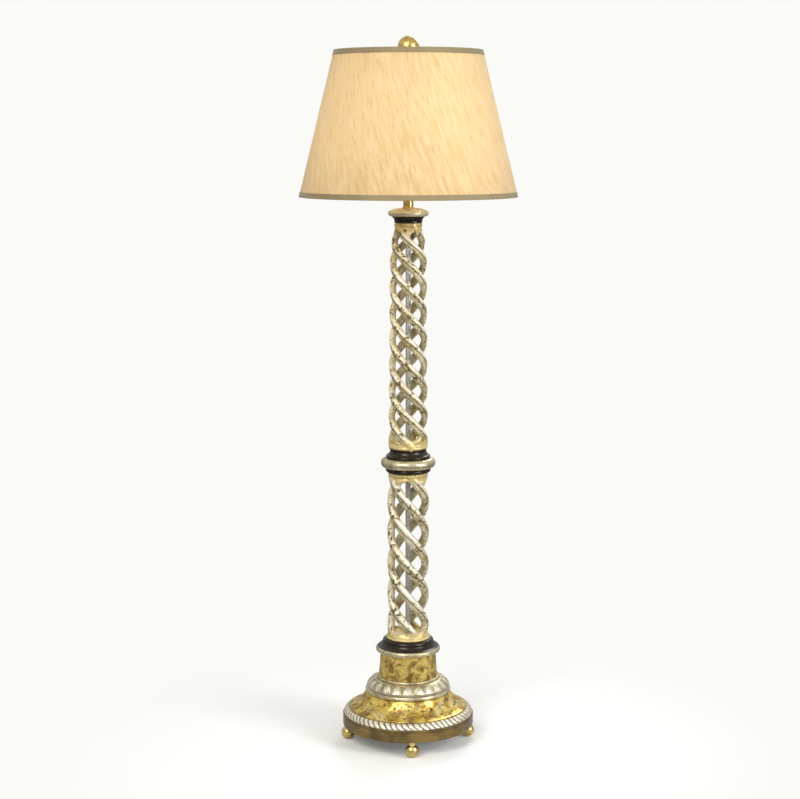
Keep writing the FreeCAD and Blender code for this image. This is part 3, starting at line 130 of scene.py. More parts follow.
def leaf_finish(name, tints, glaze_and_shade_colour, fleck, metal, rough, cloud_mm=26.0, fleck_amount=0.5):
    """Water-gilded wood: metal leaf in three tints, a dark glaze and painted shade in the hollows,
    rubbed spots.

    tints: main, second and edge colour; the edge colour is rubbed leaf and a painted highlight.
    The carved pieces carry two painted masks: 'glaze_and_shade' is 1 in a cut or hollow, where
    glaze lies and where painted shade falls, and 'wear_and_highlight' is 1 where a raised edge
    was rubbed bright and painted as a highlight. A third, 'gilt', is 1 where yellow gold was laid
    over the paler leaf.
    """
    material, tree, shader = new_finish(name)
    place = add(tree, "ShaderNodeTexCoord").outputs["Object"]
    glaze_and_shade = add(tree, "ShaderNodeAttribute", attribute_name="glaze_and_shade").outputs["Fac"]
    wear_and_highlight = add(tree, "ShaderNodeAttribute", attribute_name="wear_and_highlight").outputs["Fac"]
    clouds = speckle(tree, place, cloud_mm, 4.0, 0.6, 0.6)
    patches = step_between(tree, clouds, 0.36, 0.66)
    leaf = blend_colours(tree, patches, paint(tints[0]), paint(tints[1]))
    # overlaps and lost leaf a few millimetres across let the clay below show
    lost = speckle(tree, place, 7.0, 5.0, 0.7, 1.2)
    worn = step_between(tree, lost, 0.60, 0.72, 0.0, fleck_amount)
    leaf = blend_colours(tree, worn, leaf, paint(fleck))
    gilt = add(tree, "ShaderNodeAttribute", attribute_name="gilt").outputs["Fac"]
    leaf = blend_colours(tree, gilt, leaf, paint("#dcc170"))
    # the edge colour on raised edges: rubbed leaf and a painted highlight
    rubbed = add(tree, "ShaderNodeMath", {0: wear_and_highlight, 1: 0.85}, operation="MULTIPLY").outputs[0]
    leaf = blend_colours(tree, rubbed, leaf, paint(tints[2]))
    # the glaze colour in cuts and hollows: real glaze, and painted shade where shade falls
    darkening_noise = speckle(tree, place, 3.0, 3.0, 0.6)
    held = step_between(tree, darkening_noise, 0.30, 0.65, 0.72, 1.0)
    dark = add(tree, "ShaderNodeMath", {0: glaze_and_shade, 1: held}, operation="MULTIPLY").outputs[0]
    colour = blend_colours(tree, dark, leaf, paint(glaze_and_shade_colour))
    tree.links.new(colour, shader.inputs["Base Color"])
    gloss = step_between(tree, lost, 0.35, 0.70, rough - 0.08, rough + 0.16)
    matt = add(tree, "ShaderNodeMath", {0: dark, 1: 0.3}, operation="MULTIPLY").outputs[0]
    total = add(tree, "ShaderNodeMath", {0: gloss, 1: matt}, operation="ADD").outputs[0]
    tree.links.new(total, shader.inputs["Roughness"])
    bare = add(tree, "ShaderNodeMath", {0: dark, 1: -metal, 2: metal}, operation="MULTIPLY_ADD")
    tree.links.new(bare.outputs[0], shader.inputs["Metallic"])
    # beaten leaf: shallow dimples over a soft unevenness of the gesso
    uneven = emboss(tree, speckle(tree, place, 9.0, 2.0, 0.5), 0.5, 0.55)
    dimples = emboss(tree, lost, 0.25, 0.6, uneven)
    tree.links.new(dimples, shader.inputs["Normal"])
    return material


def black_lacquer():
    """Ebonised turned wood: near black, polished, with a faint brown grain below the lacquer."""
    material, tree, shader = new_finish("ebonised_wood")
    place = add(tree, "ShaderNodeTexCoord").outputs["Object"]
    stretched = add(tree, "ShaderNodeMapping", {"Vector": place, "Scale": (1.0, 1.0, 7.0)})
    grain = speckle(tree, stretched.outputs[0], 6.0, 4.0, 0.6)
    shade = step_between(tree, grain, 0.35, 0.7)
    colour = blend_colours(tree, shade, paint("#0c0804"), paint("#33240f"))
    tree.links.new(colour, shader.inputs["Base Color"])
    gloss = step_between(tree, grain, 0.3, 0.7, 0.18, 0.34)
    tree.links.new(gloss, shader.inputs["Roughness"])
    shader.inputs["Specular IOR Level"].default_value = 0.3
    shader.inputs["Coat Weight"].default_value = 0.06
    shader.inputs["Coat Roughness"].default_value = 0.12
    tree.links.new(emboss(tree, grain, 0.15, 0.5), shader.inputs["Normal"])
    return material


def bronzed_rim():
    """Turned wood under bronze paint, rubbed in the lathe: fine level streaks round the edge."""
    material, tree, shader = new_finish("bronzed_wood")
    place = add(tree, "ShaderNodeTexCoord").outputs["Object"]
    # streaks 1 mm high and far longer, as abrasive leaves them on a turning piece
    stretched = add(tree, "ShaderNodeMapping", {"Vector": place, "Scale": (1.0, 1.0, 22.0)})
    streaks = speckle(tree, stretched.outputs[0], 22.0, 4.0, 0.65)
    clouds = speckle(tree, place, 60.0, 3.0, 0.55, 0.4)
    light = step_between(tree, clouds, 0.38, 0.66)
    base = blend_colours(tree, light, paint("#5c4a29"), paint("#8c7540"))
    line = step_between(tree, streaks, 0.4, 0.72, 0.0, 0.55)
    colour = blend_colours(tree, line, base, paint("#3f3120"))
    # painted shadow: darker where the plate's mask is set, along the line under the rope moulding
    glaze_and_shade = add(tree, "ShaderNodeAttribute", attribute_name="glaze_and_shade").outputs["Fac"]
    colour = blend_colours(tree, glaze_and_shade, colour, paint("#231a10"))
    tree.links.new(colour, shader.inputs["Base Color"])
    shader.inputs["Metallic"].default_value = 0.55
    gloss = step_between(tree, streaks, 0.3, 0.7, 0.34, 0.5)
    tree.links.new(gloss, shader.inputs["Roughness"])
    tree.links.new(emboss(tree, streaks, 0.12, 0.6), shader.inputs["Normal"])
    return material


def metal_finish(name, light, dark, rough, streak_mm=0.0, spot_mm=14.0):
    """Solid metal: even colour with faint tarnish clouds, and turning lines where asked for."""
    material, tree, shader = new_finish(name)
    place = add(tree, "ShaderNodeTexCoord").outputs["Object"]
    tarnish = speckle(tree, place, spot_mm, 4.0, 0.6, 0.5)
    amount = step_between(tree, tarnish, 0.40, 0.72)
    colour = blend_colours(tree, amount, paint(light), paint(dark))
    tree.links.new(colour, shader.inputs["Base Color"])
    shader.inputs["Metallic"].default_value = 1.0
    gloss = step_between(tree, tarnish, 0.35, 0.7, rough, rough + 0.12)
    tree.links.new(gloss, shader.inputs["Roughness"])
    if streak_mm:
        stretched = add(tree, "ShaderNodeMapping", {"Vector": place, "Scale": (1.0, 1.0, 14.0)})
        lines = speckle(tree, stretched.outputs[0], streak_mm * 14.0, 3.0, 0.6)
        tree.links.new(emboss(tree, lines, 0.06, 0.5), shader.inputs["Normal"])
    return material


def plain_finish(name, light, dark, rough, grain_mm, depth_mm=0.1):
    """A moulded, pressed or cast surface: two close tones and a fine grain."""
    material, tree, shader = new_finish(name)
    place = add(tree, "ShaderNodeTexCoord").outputs["Object"]
    grain = speckle(tree, place, grain_mm, 4.0, 0.6)
    tone = step_between(tree, grain, 0.35, 0.68)
    tree.links.new(blend_colours(tree, tone, paint(light), paint(dark)), shader.inputs["Base Color"])
    gloss = step_between(tree, grain, 0.3, 0.7, rough, min(rough + 0.15, 1.0))
    tree.links.new(gloss, shader.inputs["Roughness"])
    tree.links.new(emboss(tree, grain, depth_mm, 0.6), shader.inputs["Normal"])
    return material


def cloth_sheet(tree, lean_degrees):
    """Coordinates on the unrolled cone: metres round the shade and up it, leant by an angle."""
    place = add(tree, "ShaderNodeTexCoord").outputs["Object"]
    split = add(tree, "ShaderNodeSeparateXYZ", {0: place})
    heading = add(
        tree, "ShaderNodeMath", {0: split.outputs[0], 1: split.outputs[1]}, operation="ARCTAN2"
    )
    # 0.21 m is the shade's mean radius, so one unit round it is one metre
    along = add(tree, "ShaderNodeMath", {0: heading.outputs[0], 1: 0.21}, operation="MULTIPLY")
    flat = add(tree, "ShaderNodeCombineXYZ", {0: along.outputs[0], 1: split.outputs[2]})
    turned = add(
        tree, "ShaderNodeMapping",
        {"Vector": flat.outputs[0], "Rotation": (0.0, 0.0, math.radians(lean_degrees))},
    )
    return place, flat.outputs[0], turned.outputs[0]


def glow_from(tree, place, bulb, near_mm, far_mm):
    """How strongly a bulb behind the cloth shows at a point: 1 close to it, 0 far away."""
    apart = add(tree, "ShaderNodeVectorMath", {0: place, 1: bulb}, operation="DISTANCE")
    return step_between(tree, apart.outputs["Value"], near_mm / MM, far_mm / MM, 1.0, 0.0)


def shade_cloth():
    """Slub silk on a stiff backing: a fine even weave with long thick yarns that lean, lit
    from inside by the two bulbs so that it glows brightest beside each of them."""
    material, tree, shader = new_finish("shade_cloth")
    place, flat, leant = cloth_sheet(tree, 17.0)
    # slubs: about 3 mm wide and 35 mm long, twice the real width so that they show
    drawn = add(tree, "ShaderNodeMapping", {"Vector": leant, "Scale": (1.0, 0.085, 1.0)})
    slubs = speckle(tree, drawn.outputs[0], 3.0, 2.0, 0.5, 0.3)
    slub = step_between(tree, slubs, 0.54, 0.78, 0.0, 0.46)
    broad = add(tree, "ShaderNodeMapping", {"Vector": leant, "Scale": (1.0, 0.14, 1.0)})
    yarns = speckle(tree, broad.outputs[0], 9.0, 4.0, 0.6)
    base = blend_colours(tree, step_between(tree, yarns, 0.3, 0.7), paint("#ccac78"), paint("#dcc295"))
    colour = blend_colours(tree, slub, base, paint("#967440"))
    # weave: threads 1.2 mm apart each way, about twice the real count so that they show
    waves = {"Vector": flat, "Scale": repeat(1.2) * math.pi / 10.0, "Distortion": 0.0}
    weft = add(tree, "ShaderNodeTexWave", waves, bands_direction="Y").outputs["Fac"]
    warp = add(tree, "ShaderNodeTexWave", waves, bands_direction="X").outputs["Fac"]
    weave = add(tree, "ShaderNodeMath", {0: weft, 1: warp}, operation="MULTIPLY").outputs[0]
    tree.links.new(colour, shader.inputs["Base Color"])
    shader.inputs["Roughness"].default_value = 0.85
    shader.inputs["Specular IOR Level"].default_value = 0.2
    shader.inputs["Sheen Weight"].default_value = 0.15
    left = glow_from(tree, place, (-0.125, -0.10, 1.49), 70.0, 250.0)
    right = glow_from(tree, place, (0.125, -0.10, 1.49), 70.0, 250.0)
    left_back = glow_from(tree, place, (-0.125, 0.10, 1.49), 70.0, 250.0)
    right_back = glow_from(tree, place, (0.125, 0.10, 1.49), 70.0, 250.0)
    front = add(tree, "ShaderNodeMath", {0: left, 1: right}, operation="MAXIMUM").outputs[0]
    back = add(tree, "ShaderNodeMath", {0: left_back, 1: right_back}, operation="MAXIMUM")
    both = add(tree, "ShaderNodeMath", {0: front, 1: back.outputs[0]}, operation="MAXIMUM")
    light = blend_colours(tree, both.outputs[0], paint("#6c4e2c"), paint("#f6d09a"))
    light = blend_colours(tree, step_between(tree, yarns, 0.3, 0.7, 0.0, 0.45), light, paint("#a07a48"))
    light = blend_colours(tree, slub, light, paint("#7d5c2c"))
    tree.links.new(light, shader.inputs["Emission Color"])
    shader.inputs["Emission Strength"].default_value = 0.30
    weave_bump = emboss(tree, weave, 0.12, 0.5)
    tree.links.new(emboss(tree, slubs, 0.25, 0.5, weave_bump), shader.inputs["Normal"])
    return material


def shade_lining_finish():
    """Cream lining bonded behind the cloth: smooth, faintly ribbed, warm with the bulbs' light."""
    material, tree, shader = new_finish("shade_lining")
    place, flat, _ = cloth_sheet(tree, 0.0)
    grain = speckle(tree, flat, 3.0, 3.0, 0.6)
    tone = step_between(tree, grain, 0.35, 0.68)
    colour = blend_colours(tree, tone, paint("#f2e3c1"), paint("#e2cfa6"))
    tree.links.new(colour, shader.inputs["Base Color"])
    shader.inputs["Roughness"].default_value = 0.8
    glow = glow_from(tree, place, (0.0, 0.0, 1.45), 120.0, 330.0)
    light = blend_colours(tree, glow, paint("#8a7148"), paint("#ffeccb"))
    tree.links.new(light, shader.inputs["Emission Color"])
    shader.inputs["Emission Strength"].default_value = 0.22
    tree.links.new(emboss(tree, grain, 0.08, 0.5), shader.inputs["Normal"])
    return material


def trim_braid():
    """Grosgrain ribbon in taupe and olive: close upright ribs and a soft sheen."""
    material, tree, shader = new_finish("trim_braid")
    place, flat, _ = cloth_sheet(tree, 0.0)
    # ribs 1.5 mm apart, as on a 10 mm ribbon
    waves = {"Vector": flat, "Scale": repeat(1.5) * math.pi / 10.0, "Distortion": 0.0}
    ribs = add(tree, "ShaderNodeTexWave", waves, bands_direction="X").outputs["Fac"]
    cloud = speckle(tree, place, 50.0, 3.0, 0.5)
    tone = step_between(tree, cloud, 0.35, 0.65)
    base = blend_colours(tree, tone, paint("#7f6c48"), paint("#8f7b54"))
    colour = blend_colours(tree, ribs, base, paint("#95865f"))
    tree.links.new(colour, shader.inputs["Base Color"])
    shader.inputs["Roughness"].default_value = 0.6
    shader.inputs["Sheen Weight"].default_value = 0.3
    tree.links.new(emboss(tree, ribs, 0.2, 0.6), shader.inputs["Normal"])
    return material


def lamp_glass():
    """Inside-frosted glass of a lit bulb: a warm even glow, a little brighter at the middle."""
    material, tree, shader = new_finish("bulb_glass")
    place = add(tree, "ShaderNodeTexCoord").outputs["Object"]
    frost = speckle(tree, place, 2.0, 3.0, 0.6)
    tone = step_between(tree, frost, 0.3, 0.7)
    colour = blend_colours(tree, tone, paint("#fff6e2"), paint("#f8e8c8"))
    tree.links.new(colour, shader.inputs["Base Color"])
    shader.inputs["Roughness"].default_value = 0.35
    facing = add(tree, "ShaderNodeLayerWeight", {0: 0.4}).outputs["Facing"]
    light = blend_colours(tree, facing, paint("#fff0cf"), paint("#ffd489"))
    tree.links.new(light, shader.inputs["Emission Color"])
    shader.inputs["Emission Strength"].default_value = 1.6
    return material


GOLD = leaf_finish(
    "gold_leaf", ("#ecce6a", "#8f6d2a", "#fff5c0"), "#3b2c0e", "#8a5a24", 0.72, 0.3
)
MOTTLED_GOLD = leaf_finish(
    "mottled_gold_leaf", ("#f6d67c", "#826a30", "#fbf0b4"), "#35260c", "#5f3d16", 0.7, 0.3,
    cloud_mm=20.0, fleck_amount=0.8,
)
SILVER = leaf_finish(
    "silver_leaf", ("#cfc5a6", "#a99b76", "#f7f2e0"), "#4a3b22", "#75603a", 0.7, 0.32,
    fleck_amount=0.35,
)
SMOOTH_LEAF = leaf_finish(
    "smooth_leaf", ("#e9e1c8", "#cbbf9c", "#fbf8ec"), "#4a3b22", "#94805a", 0.5, 0.3,
    fleck_amount=0.12,
)
AGED_LEAF = leaf_finish(
    "aged_leaf", ("#ebe2c2", "#b9a877", "#fffdf3"), "#4b3a1a", "#6f5730", 0.26, 0.34,
    cloud_mm=18.0, fleck_amount=0.7,
)
EBONISED = black_lacquer()
BRONZED = bronzed_rim()
BRASS = metal_finish("polished_brass", "#d8c080", "#a68c50", 0.2)
LAMP_BRASS = metal_finish("satin_brass", "#dcc07a", "#b3954f", 0.24, streak_mm=0.8)
STEEL = metal_finish("plated_steel", "#f1f1ef", "#c9cac9", 0.34, streak_mm=1.0)
ZINC = metal_finish("zinc_plated_steel", "#b4b5b4", "#8f9192", 0.36)
BULB_METAL = metal_finish("aluminium_cap", "#c6c6c4", "#a9a9a6", 0.3)
CAST = plain_finish("cast_iron", "#2b2b2c", "#1c1c1d", 0.6, 4.0, 0.4)
BOARD = plain_finish("felted_board", "#4a3b28", "#392c1c", 0.85, 1.5, 0.2)
NYLON = plain_finish("black_nylon", "#1b1b1c", "#121213", 0.45, 2.0)
PHENOLIC = plain_finish("phenolic_plastic", "#1f1815", "#120d0b", 0.3, 5.0)
FIBRE = plain_finish("vulcanised_fibre", "#6b5236", "#563f28", 0.7, 1.0)
CLOTH = shade_cloth()
LINING = shade_lining_finish()
BRAID = trim_braid()
GLASS = lamp_glass()

FINISH_OF_SLOT = {
    "foot_brass": BRASS, "lamp_brass": LAMP_BRASS, "zinc_steel": ZINC, "plated_steel": STEEL,
    "bulb_metal": BULB_METAL, "cast_weight": CAST, "bronzed_wood": BRONZED,
    "silver_leaf": SILVER, "gold_leaf": GOLD, "mottled_leaf": MOTTLED_GOLD,
    "aged_leaf": AGED_LEAF, "ebonised_wood": EBONISED, "cover_board": BOARD,
    "black_plastic": NYLON, "phenolic": PHENOLIC, "fibre_sleeve": FIBRE,
    "bulb_glass": GLASS, "shade_cloth": CLOTH, "shade_lining": LINING, "trim_braid": BRAID,
}
SLOT_OF_NODE = {p["node"]: p["material_slot"] for p in frame["record"]["subparts"]}

for node_name, node_object in frame["nodes"].items():
    node_object.data.materials.clear()
    node_object.data.materials.append(FINISH_OF_SLOT[SLOT_OF_NODE[node_name]])


# ----------------------------------------------------------------------------------------------
# Making a piece
# ----------------------------------------------------------------------------------------------

RNG = np.random.default_rng(7)
LATTICE = RNG.random((32, 32, 32))


def grain_at(points, size_mm, shift=0.0):
    """Smooth random values from -1 to 1 at points (n by 3, mm), about size_mm across."""
    cells = points / size_mm + shift
    low = np.floor(cells).astype(int)
    part = cells - low
    part = part * part * (3.0 - 2.0 * part)
    total = 0.0
    for corner in np.ndindex(2, 2, 2):
        at = (low + corner) % 32
        weight = np.prod(np.where(corner, part, 1.0 - part), axis=1)
        total = total + weight * LATTICE[at[:, 0], at[:, 1], at[:, 2]]
    return total * 2.0 - 1.0


def rolling_grain(points, size_mm, layers=3):
    """grain_at in halving sizes, for a natural unevenness."""
    value = 0.0
    for layer in range(layers):
        value = value + grain_at(points, size_mm / 2 ** layer, 7.3 * layer) / 2 ** layer
    return value / 1.75


def finished_piece(name, mesh, finish, body, nodes, masks=None):
    """Put a mesh in the scene with its finish, its masks, and the CAD nodes it stands for."""
    for mask, values in (masks or {}).items():
        layer = mesh.attributes.new(mask, "FLOAT", "POINT")
        layer.data.foreach_set("value", np.clip(values, 0.0, 1.0).astype(np.float32))
    mesh.polygons.foreach_set("use_smooth", [True] * len(mesh.polygons))
    mesh.materials.append(finish)
    piece = bpy.data.objects.new(name, mesh)
    bpy.context.collection.objects.link(piece)
    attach(piece, body)
    if nodes:
        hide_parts(*nodes)
    return piece


def mesh_from(name, points, faces):
    """A mesh from points in mm and a list or array of faces."""
    mesh = bpy.data.meshes.new(name)
    mesh.from_pydata((np.asarray(points) / MM).tolist(), [], [tuple(f) for f in faces])
    mesh.update()
    return mesh


def follow(corners, step):
    """An outline of (radius, height[, arc radius, side]) as evenly spaced points, closed."""
    points = []
    for index, corner in enumerate(corners):
        start = np.array(corners[index - 1][:2], float)
        end = np.array(corner[:2], float)
        chord = np.linalg.norm(end - start)
        if len(corner) == 2:
            pieces = max(1, int(chord / step)) if index else 1
            fine = np.linspace(0.0, 1.0, pieces + 1)[1:]
            points += [start + (end - start) * f for f in fine]
            continue
        radius, side = corner[2], corner[3]
        half = math.asin(min(1.0, chord / 2.0 / radius))
        middle = (start + end) / 2.0
        across = np.array([-(end - start)[1], (end - start)[0]]) / chord
        centre = middle + across * math.cos(half) * radius * side
        first = math.atan2(*(start - centre)[::-1])
        pieces = max(2, int(radius * 2.0 * half / step))
        for f in np.linspace(0.0, 1.0, pieces + 1)[1:]:
            angle = first + 2.0 * half * f * side
            points.append(centre + radius * np.array([math.cos(angle), math.sin(angle)]))
    return np.array(points)


def turned_ring(outline, around):
    """Revolve a closed outline (radius, height) about +Z in so many steps."""
    rows = len(outline)
    angles = np.linspace(0.0, 2.0 * math.pi, around, endpoint=False)
    radius = np.repeat(outline[:, 0], around)
    height = np.repeat(outline[:, 1], around)
    angle = np.tile(angles, rows)
    points = np.column_stack([radius * np.cos(angle), radius * np.sin(angle), height])
    row = np.arange(rows)[:, None]
    turn = np.arange(around)[None, :]
    after_row = (row + 1) % rows
    after_turn = (turn + 1) % around
    faces = np.stack([
        row * around + turn, row * around + after_turn,
        after_row * around + after_turn, after_row * around + turn,
    ], axis=-1).reshape(-1, 4)
    return points, faces


def outline_normals(outline):
    """Unit normals of a closed outline that runs up its outer side, pointing outwards."""
    ahead = np.roll(outline, -1, axis=0) - np.roll(outline, 1, axis=0)
    length = np.maximum(np.linalg.norm(ahead, axis=1), 1e-6)
    return np.column_stack([ahead[:, 1], -ahead[:, 0]]) / length[:, None]


def make_turned(name, corners, finish, relief=None, step=1.2, around=256, wobble=0.25):
    """A turned piece of wood or metal, with hand-worn unevenness and carving if given.

    relief(heading, along, radius, height) gives how far the surface stands out in mm, then the
    mask of glaze with painted shade and the mask of rubbed leaf with painted highlight. heading is
    in degrees, along in mm round the ring at that point.
    """
    outline = follow(corners, step)
    points, faces = turned_ring(outline, around)
    normals = outline_normals(outline)
    radial = np.repeat(normals[:, 0], around)
    upward = np.repeat(normals[:, 1], around)
    radius = np.hypot(points[:, 0], points[:, 1])
    unit = points[:, :2] / np.maximum(radius, 1e-6)[:, None]
    outside = radius > 0.62 * radius.max()
    stand = wobble * rolling_grain(points, 22.0) * outside
    glaze_and_shade = np.zeros(len(points))
    wear_and_highlight = np.zeros(len(points))
    if relief is not None:
        heading = np.degrees(np.arctan2(points[:, 0], -points[:, 1]))
        carved, glaze_and_shade, wear_and_highlight = relief(heading, np.radians(heading) * radius, radius, points[:, 2], points)
        stand = stand + carved * outside
        glaze_and_shade = glaze_and_shade * outside
        wear_and_highlight = wear_and_highlight * outside
    points[:, :2] += unit * (radial * stand)[:, None]
    points[:, 2] += upward * stand
    mesh = mesh_from(name, points, faces)
    return finished_piece(
        name + "_carved", mesh, finish, "root", [name], {"glaze_and_shade": glaze_and_shade, "wear_and_highlight": wear_and_highlight}
    )


def half_round(outer, level, height, hole):
    """A ring with a half-round edge, bored for the rod."""
    nose = height / 2.0
    return [
        (hole, level), (outer - nose, level), (outer, level + nose, nose, 1),
        (outer - nose, level + height, nose, 1), (hole, level + height),
    ]


ROD_HOLE = 7.0


# ----------------------------------------------------------------------------------------------
# Turned and carved pieces of the base, from the floor upwards
# ----------------------------------------------------------------------------------------------

FEET = {"front": 3.5, "right": 93.5, "back": 183.5, "left": 273.5}


def ball_foot(name, heading):
    """A turned brass ball on a short neck, flat below where it stands."""
    corners = [
        (0.01, 0.0), (4.0, 0.0), (16.5, 16.0, 16.5, 1), (8.0, 30.4, 16.5, 1), (8.0, 38.0),
        (0.01, 38.0),
    ]
    points, faces = turned_ring(follow(corners, 0.9), 72)
    turn = math.radians(heading)
    points[:, 0] += 145.0 * math.sin(turn)
    points[:, 1] -= 145.0 * math.cos(turn)
    mesh = mesh_from("foot_" + name, points, faces)
    finished_piece("foot_%s_ball" % name, mesh, BRASS, "root", ["ball_foot_" + name])


for foot_name, foot_heading in FEET.items():
    ball_foot(foot_name, foot_heading)


def groove(distance, width):
    """1 in the middle of a cut, falling to 0 at half its width."""
    return np.clip(1.0 - np.abs(distance) / (width / 2.0), 0.0, 1.0)


def waves(value):
    """The distance of a value from the nearest whole number, signed."""
    return value - np.round(value)


def rim_groove_shadow(heading, along, radius, height, points):
    """The plate's cut line under its top edge, darkened as a painted shadow of the rope moulding above."""
    line = groove(height - 62.8, 2.6) * (radius > 150.0)
    return -0.5 * line, 0.8 * line, np.zeros_like(line)


make_turned("base_plate", [
    (118.0, 38.0), (155.4, 38.0), (157.0, 39.6, 1.6, 1), (157.0, 65.0), (155.4, 66.6, 1.6, 1),
    (ROD_HOLE, 66.6), (ROD_HOLE, 56.0), (113.0, 56.0), (113.0, 41.0), (118.0, 41.0),
], BRONZED, rim_groove_shadow, step=0.9, around=384, wobble=0.12)

ROPE_STRANDS = 66


def rope_strands(heading, along, radius, height, points):
    """Slanting strands round the rim, each a rounded bead with a dark cut beside it; painted shade
    along the rope's top and bottom edges, and a painted highlight on each bead's round top.
    """
    up = (height - 66.6) / 14.4
    phase = heading / 360.0 * ROPE_STRANDS + 0.9 * up + 0.6 * grain_at(points, 34.0)
    apart = np.abs(waves(phase)) * 2.0
    body = np.sqrt(np.clip(1.0 - apart ** 2, 0.0, 1.0))
    edge = np.clip(np.minimum(up * 5.0, (1.04 - up) * 7.0), 0.0, 1.0)
    stand = (body - 0.75) * 2.4 * edge
    # glaze in the cuts, and painted shade where the rope meets the plate and runs under the skirt
    glaze_and_shade = np.clip((apart - 0.62) / 0.3, 0.0, 1.0) * edge + (1.0 - edge) * 0.8
    # the third mask is a painted highlight, with rubbed leaf, on each bead's round top
    return stand, glaze_and_shade, body ** 3 * edge


make_turned("rope_moulding", [
    (131.0, 66.6), (154.5, 66.6), (154.5, 68.6), (141.0, 81.0, 15.5, 1), (131.0, 81.0),
], SILVER, rope_strands, step=0.8, around=1152, wobble=0.2)

SKIRT_LEAVES = 9


def skirt_carving(heading, along, radius, height, points):
    """Long shallow leaves that lie along the flare, with cut veins and small gouge marks."""
    up = np.clip((height - 83.0) / 34.0, 0.0, 1.0)
    turn = heading / 360.0 * SKIRT_LEAVES
    bend = 0.30 * np.sin(up * 4.2 + 1.3 * np.sin(np.radians(heading * 3.0)))
    across = waves(turn + bend)
    wide = 0.42 * np.sin(np.clip(up, 0.02, 0.98) * math.pi) ** 0.6
    vein = groove(across, 0.035)
    outline = groove(np.abs(across) - wide, 0.05)
    lobes = groove(waves(up * 5.0 + np.abs(across) * 4.5), 0.22) * (np.abs(across) < wide)
    lobes = lobes * np.clip(np.abs(across) * 9.0 - 0.4, 0.0, 1.0)
    belly = np.clip(1.0 - (across / np.maximum(wide, 0.01)) ** 2, 0.0, 1.0)
    patchy = np.clip(0.75 + 1.2 * grain_at(points, 38.0), 0.0, 1.0)
    marks = np.clip((grain_at(points * [1.0, 1.0, 1.6], 8.0, 3.0) - 0.45) * 4.0, 0.0, 1.0)
    cut = np.clip(0.8 * vein + 0.7 * outline + 0.65 * lobes, 0.0, 1.0) * patchy
    side = np.clip(np.minimum(up, 1.0 - up) * 12.0, 0.0, 1.0) * (height > 82.5)
    stand = (1.4 * belly * patchy - 2.2 * cut - 1.3 * marks) * side
    # the second mask is glaze in the cuts and marks; the third paints each leaf's rounded middle lighter,
    # as rubbed leaf and a painted highlight
    return stand, np.clip(cut * 1.2 + 0.9 * marks, 0.0, 1.0) * side, 0.5 * belly * (1.0 - cut) * patchy


make_turned("base_skirt", [
    (ROD_HOLE, 66.6), (130.7, 66.6), (130.7, 81.3), (140.0, 81.3), (140.0, 83.5),
    (101.0, 119.2, 60.0, -1), (ROD_HOLE, 119.2),
], GOLD, skirt_carving, step=0.9, around=900, wobble=0.5)

make_turned(
    "skirt_bead", half_round(102.5, 119.2, 11.6, ROD_HOLE), SILVER,
    around=384, wobble=0.25,
)

ACANTHUS_LEAVES = 22
SEED_BEADS = 150


def acanthus_band(heading, along, radius, height, points):
    """Overlapping acanthus leaves with veins and gouged eyes, above a row of small beads."""
    up = (height - 130.8) / 22.2
    row = np.clip((up - 0.20) / 0.74, 0.0, 1.0)
    turn = heading / 360.0 * ACANTHUS_LEAVES + 0.05 * grain_at(points, 40.0)
    across = waves(turn + 0.10 * np.sin(row * 3.1))
    tip = 0.50 * np.sqrt(np.clip(1.0 - row ** 2.4, 0.0, 1.0))
    scallop = 0.035 * np.sin(row * 19.0)
    inside = np.clip((tip + scallop - np.abs(across)) * 12.0, 0.0, 1.0)
    belly = np.clip(1.0 - (across / np.maximum(tip, 0.05)) ** 2, 0.0, 1.0)
    vein = groove(across, 0.06)
    beside_vein = np.clip(np.abs(across) * 7.0 - 0.5, 0.0, 1.0)
    ribs = groove(waves(row * 4.5 - np.abs(across) * 5.0), 0.34) * beside_vein
    eye = groove(np.hypot((np.abs(waves(turn + 0.5)) * 1.5), (row - 0.42) * 0.9), 0.34)
    band = (row > 0.0) * (row < 1.0)
    worn = np.clip(0.6 + 0.9 * grain_at(points, 24.0), 0.25, 1.0)
    leaf = inside * (0.6 + 0.4 * belly) - 0.9 * vein * inside - 0.9 * ribs * inside
    stand = band * (leaf - 1.3 * eye * worn)
    # glaze in veins, ribs and eyes, and the ground between the leaves darkened as glaze and painted shade
    glaze_and_shade = band * worn * np.clip(0.5 * (1.0 - inside) + 0.5 * vein + 0.6 * ribs + 0.9 * eye, 0.0, 1.0)
    # a painted highlight, with rubbed leaf, on each leaf's rounded belly
    wear_and_highlight = band * 0.6 * inside * belly * (1.0 - np.clip(vein + ribs, 0.0, 1.0))
    # seed beads 4 mm apart along the foot of the band
    bead_row = np.clip(1.0 - np.abs(up - 0.10) / 0.10, 0.0, 1.0)
    bead = np.clip(1.0 - np.abs(waves(heading / 360.0 * SEED_BEADS)) * 2.6, 0.0, 1.0)
    bead = np.sqrt(bead * bead_row)
    low = (row <= 0.0)
    # between the beads darker as glaze and painted shade, the beads lighter as rubbed leaf and painted
    # highlight
    return stand + low * (1.5 * bead - 0.9), glaze_and_shade + low * (1.0 - bead) * 0.85, wear_and_highlight + low * bead


make_turned("leaf_moulding", [
    (ROD_HOLE, 130.8), (98.5, 130.8), (98.5, 135.4), (76.0, 153.0, 28.0, 1), (ROD_HOLE, 153.0),
], SILVER, acanthus_band, step=0.75, around=1080, wobble=0.3)

make_turned(
    "drum_bead", half_round(75.0, 153.0, 5.6, ROD_HOLE), SILVER,
    around=320, wobble=0.2,
)

make_turned("drum", [
    (ROD_HOLE, 158.6), (70.6, 158.6), (67.0, 218.0, 420.0, -1), (ROD_HOLE, 218.0),
], MOTTLED_GOLD, step=1.5, around=320, wobble=0.45)

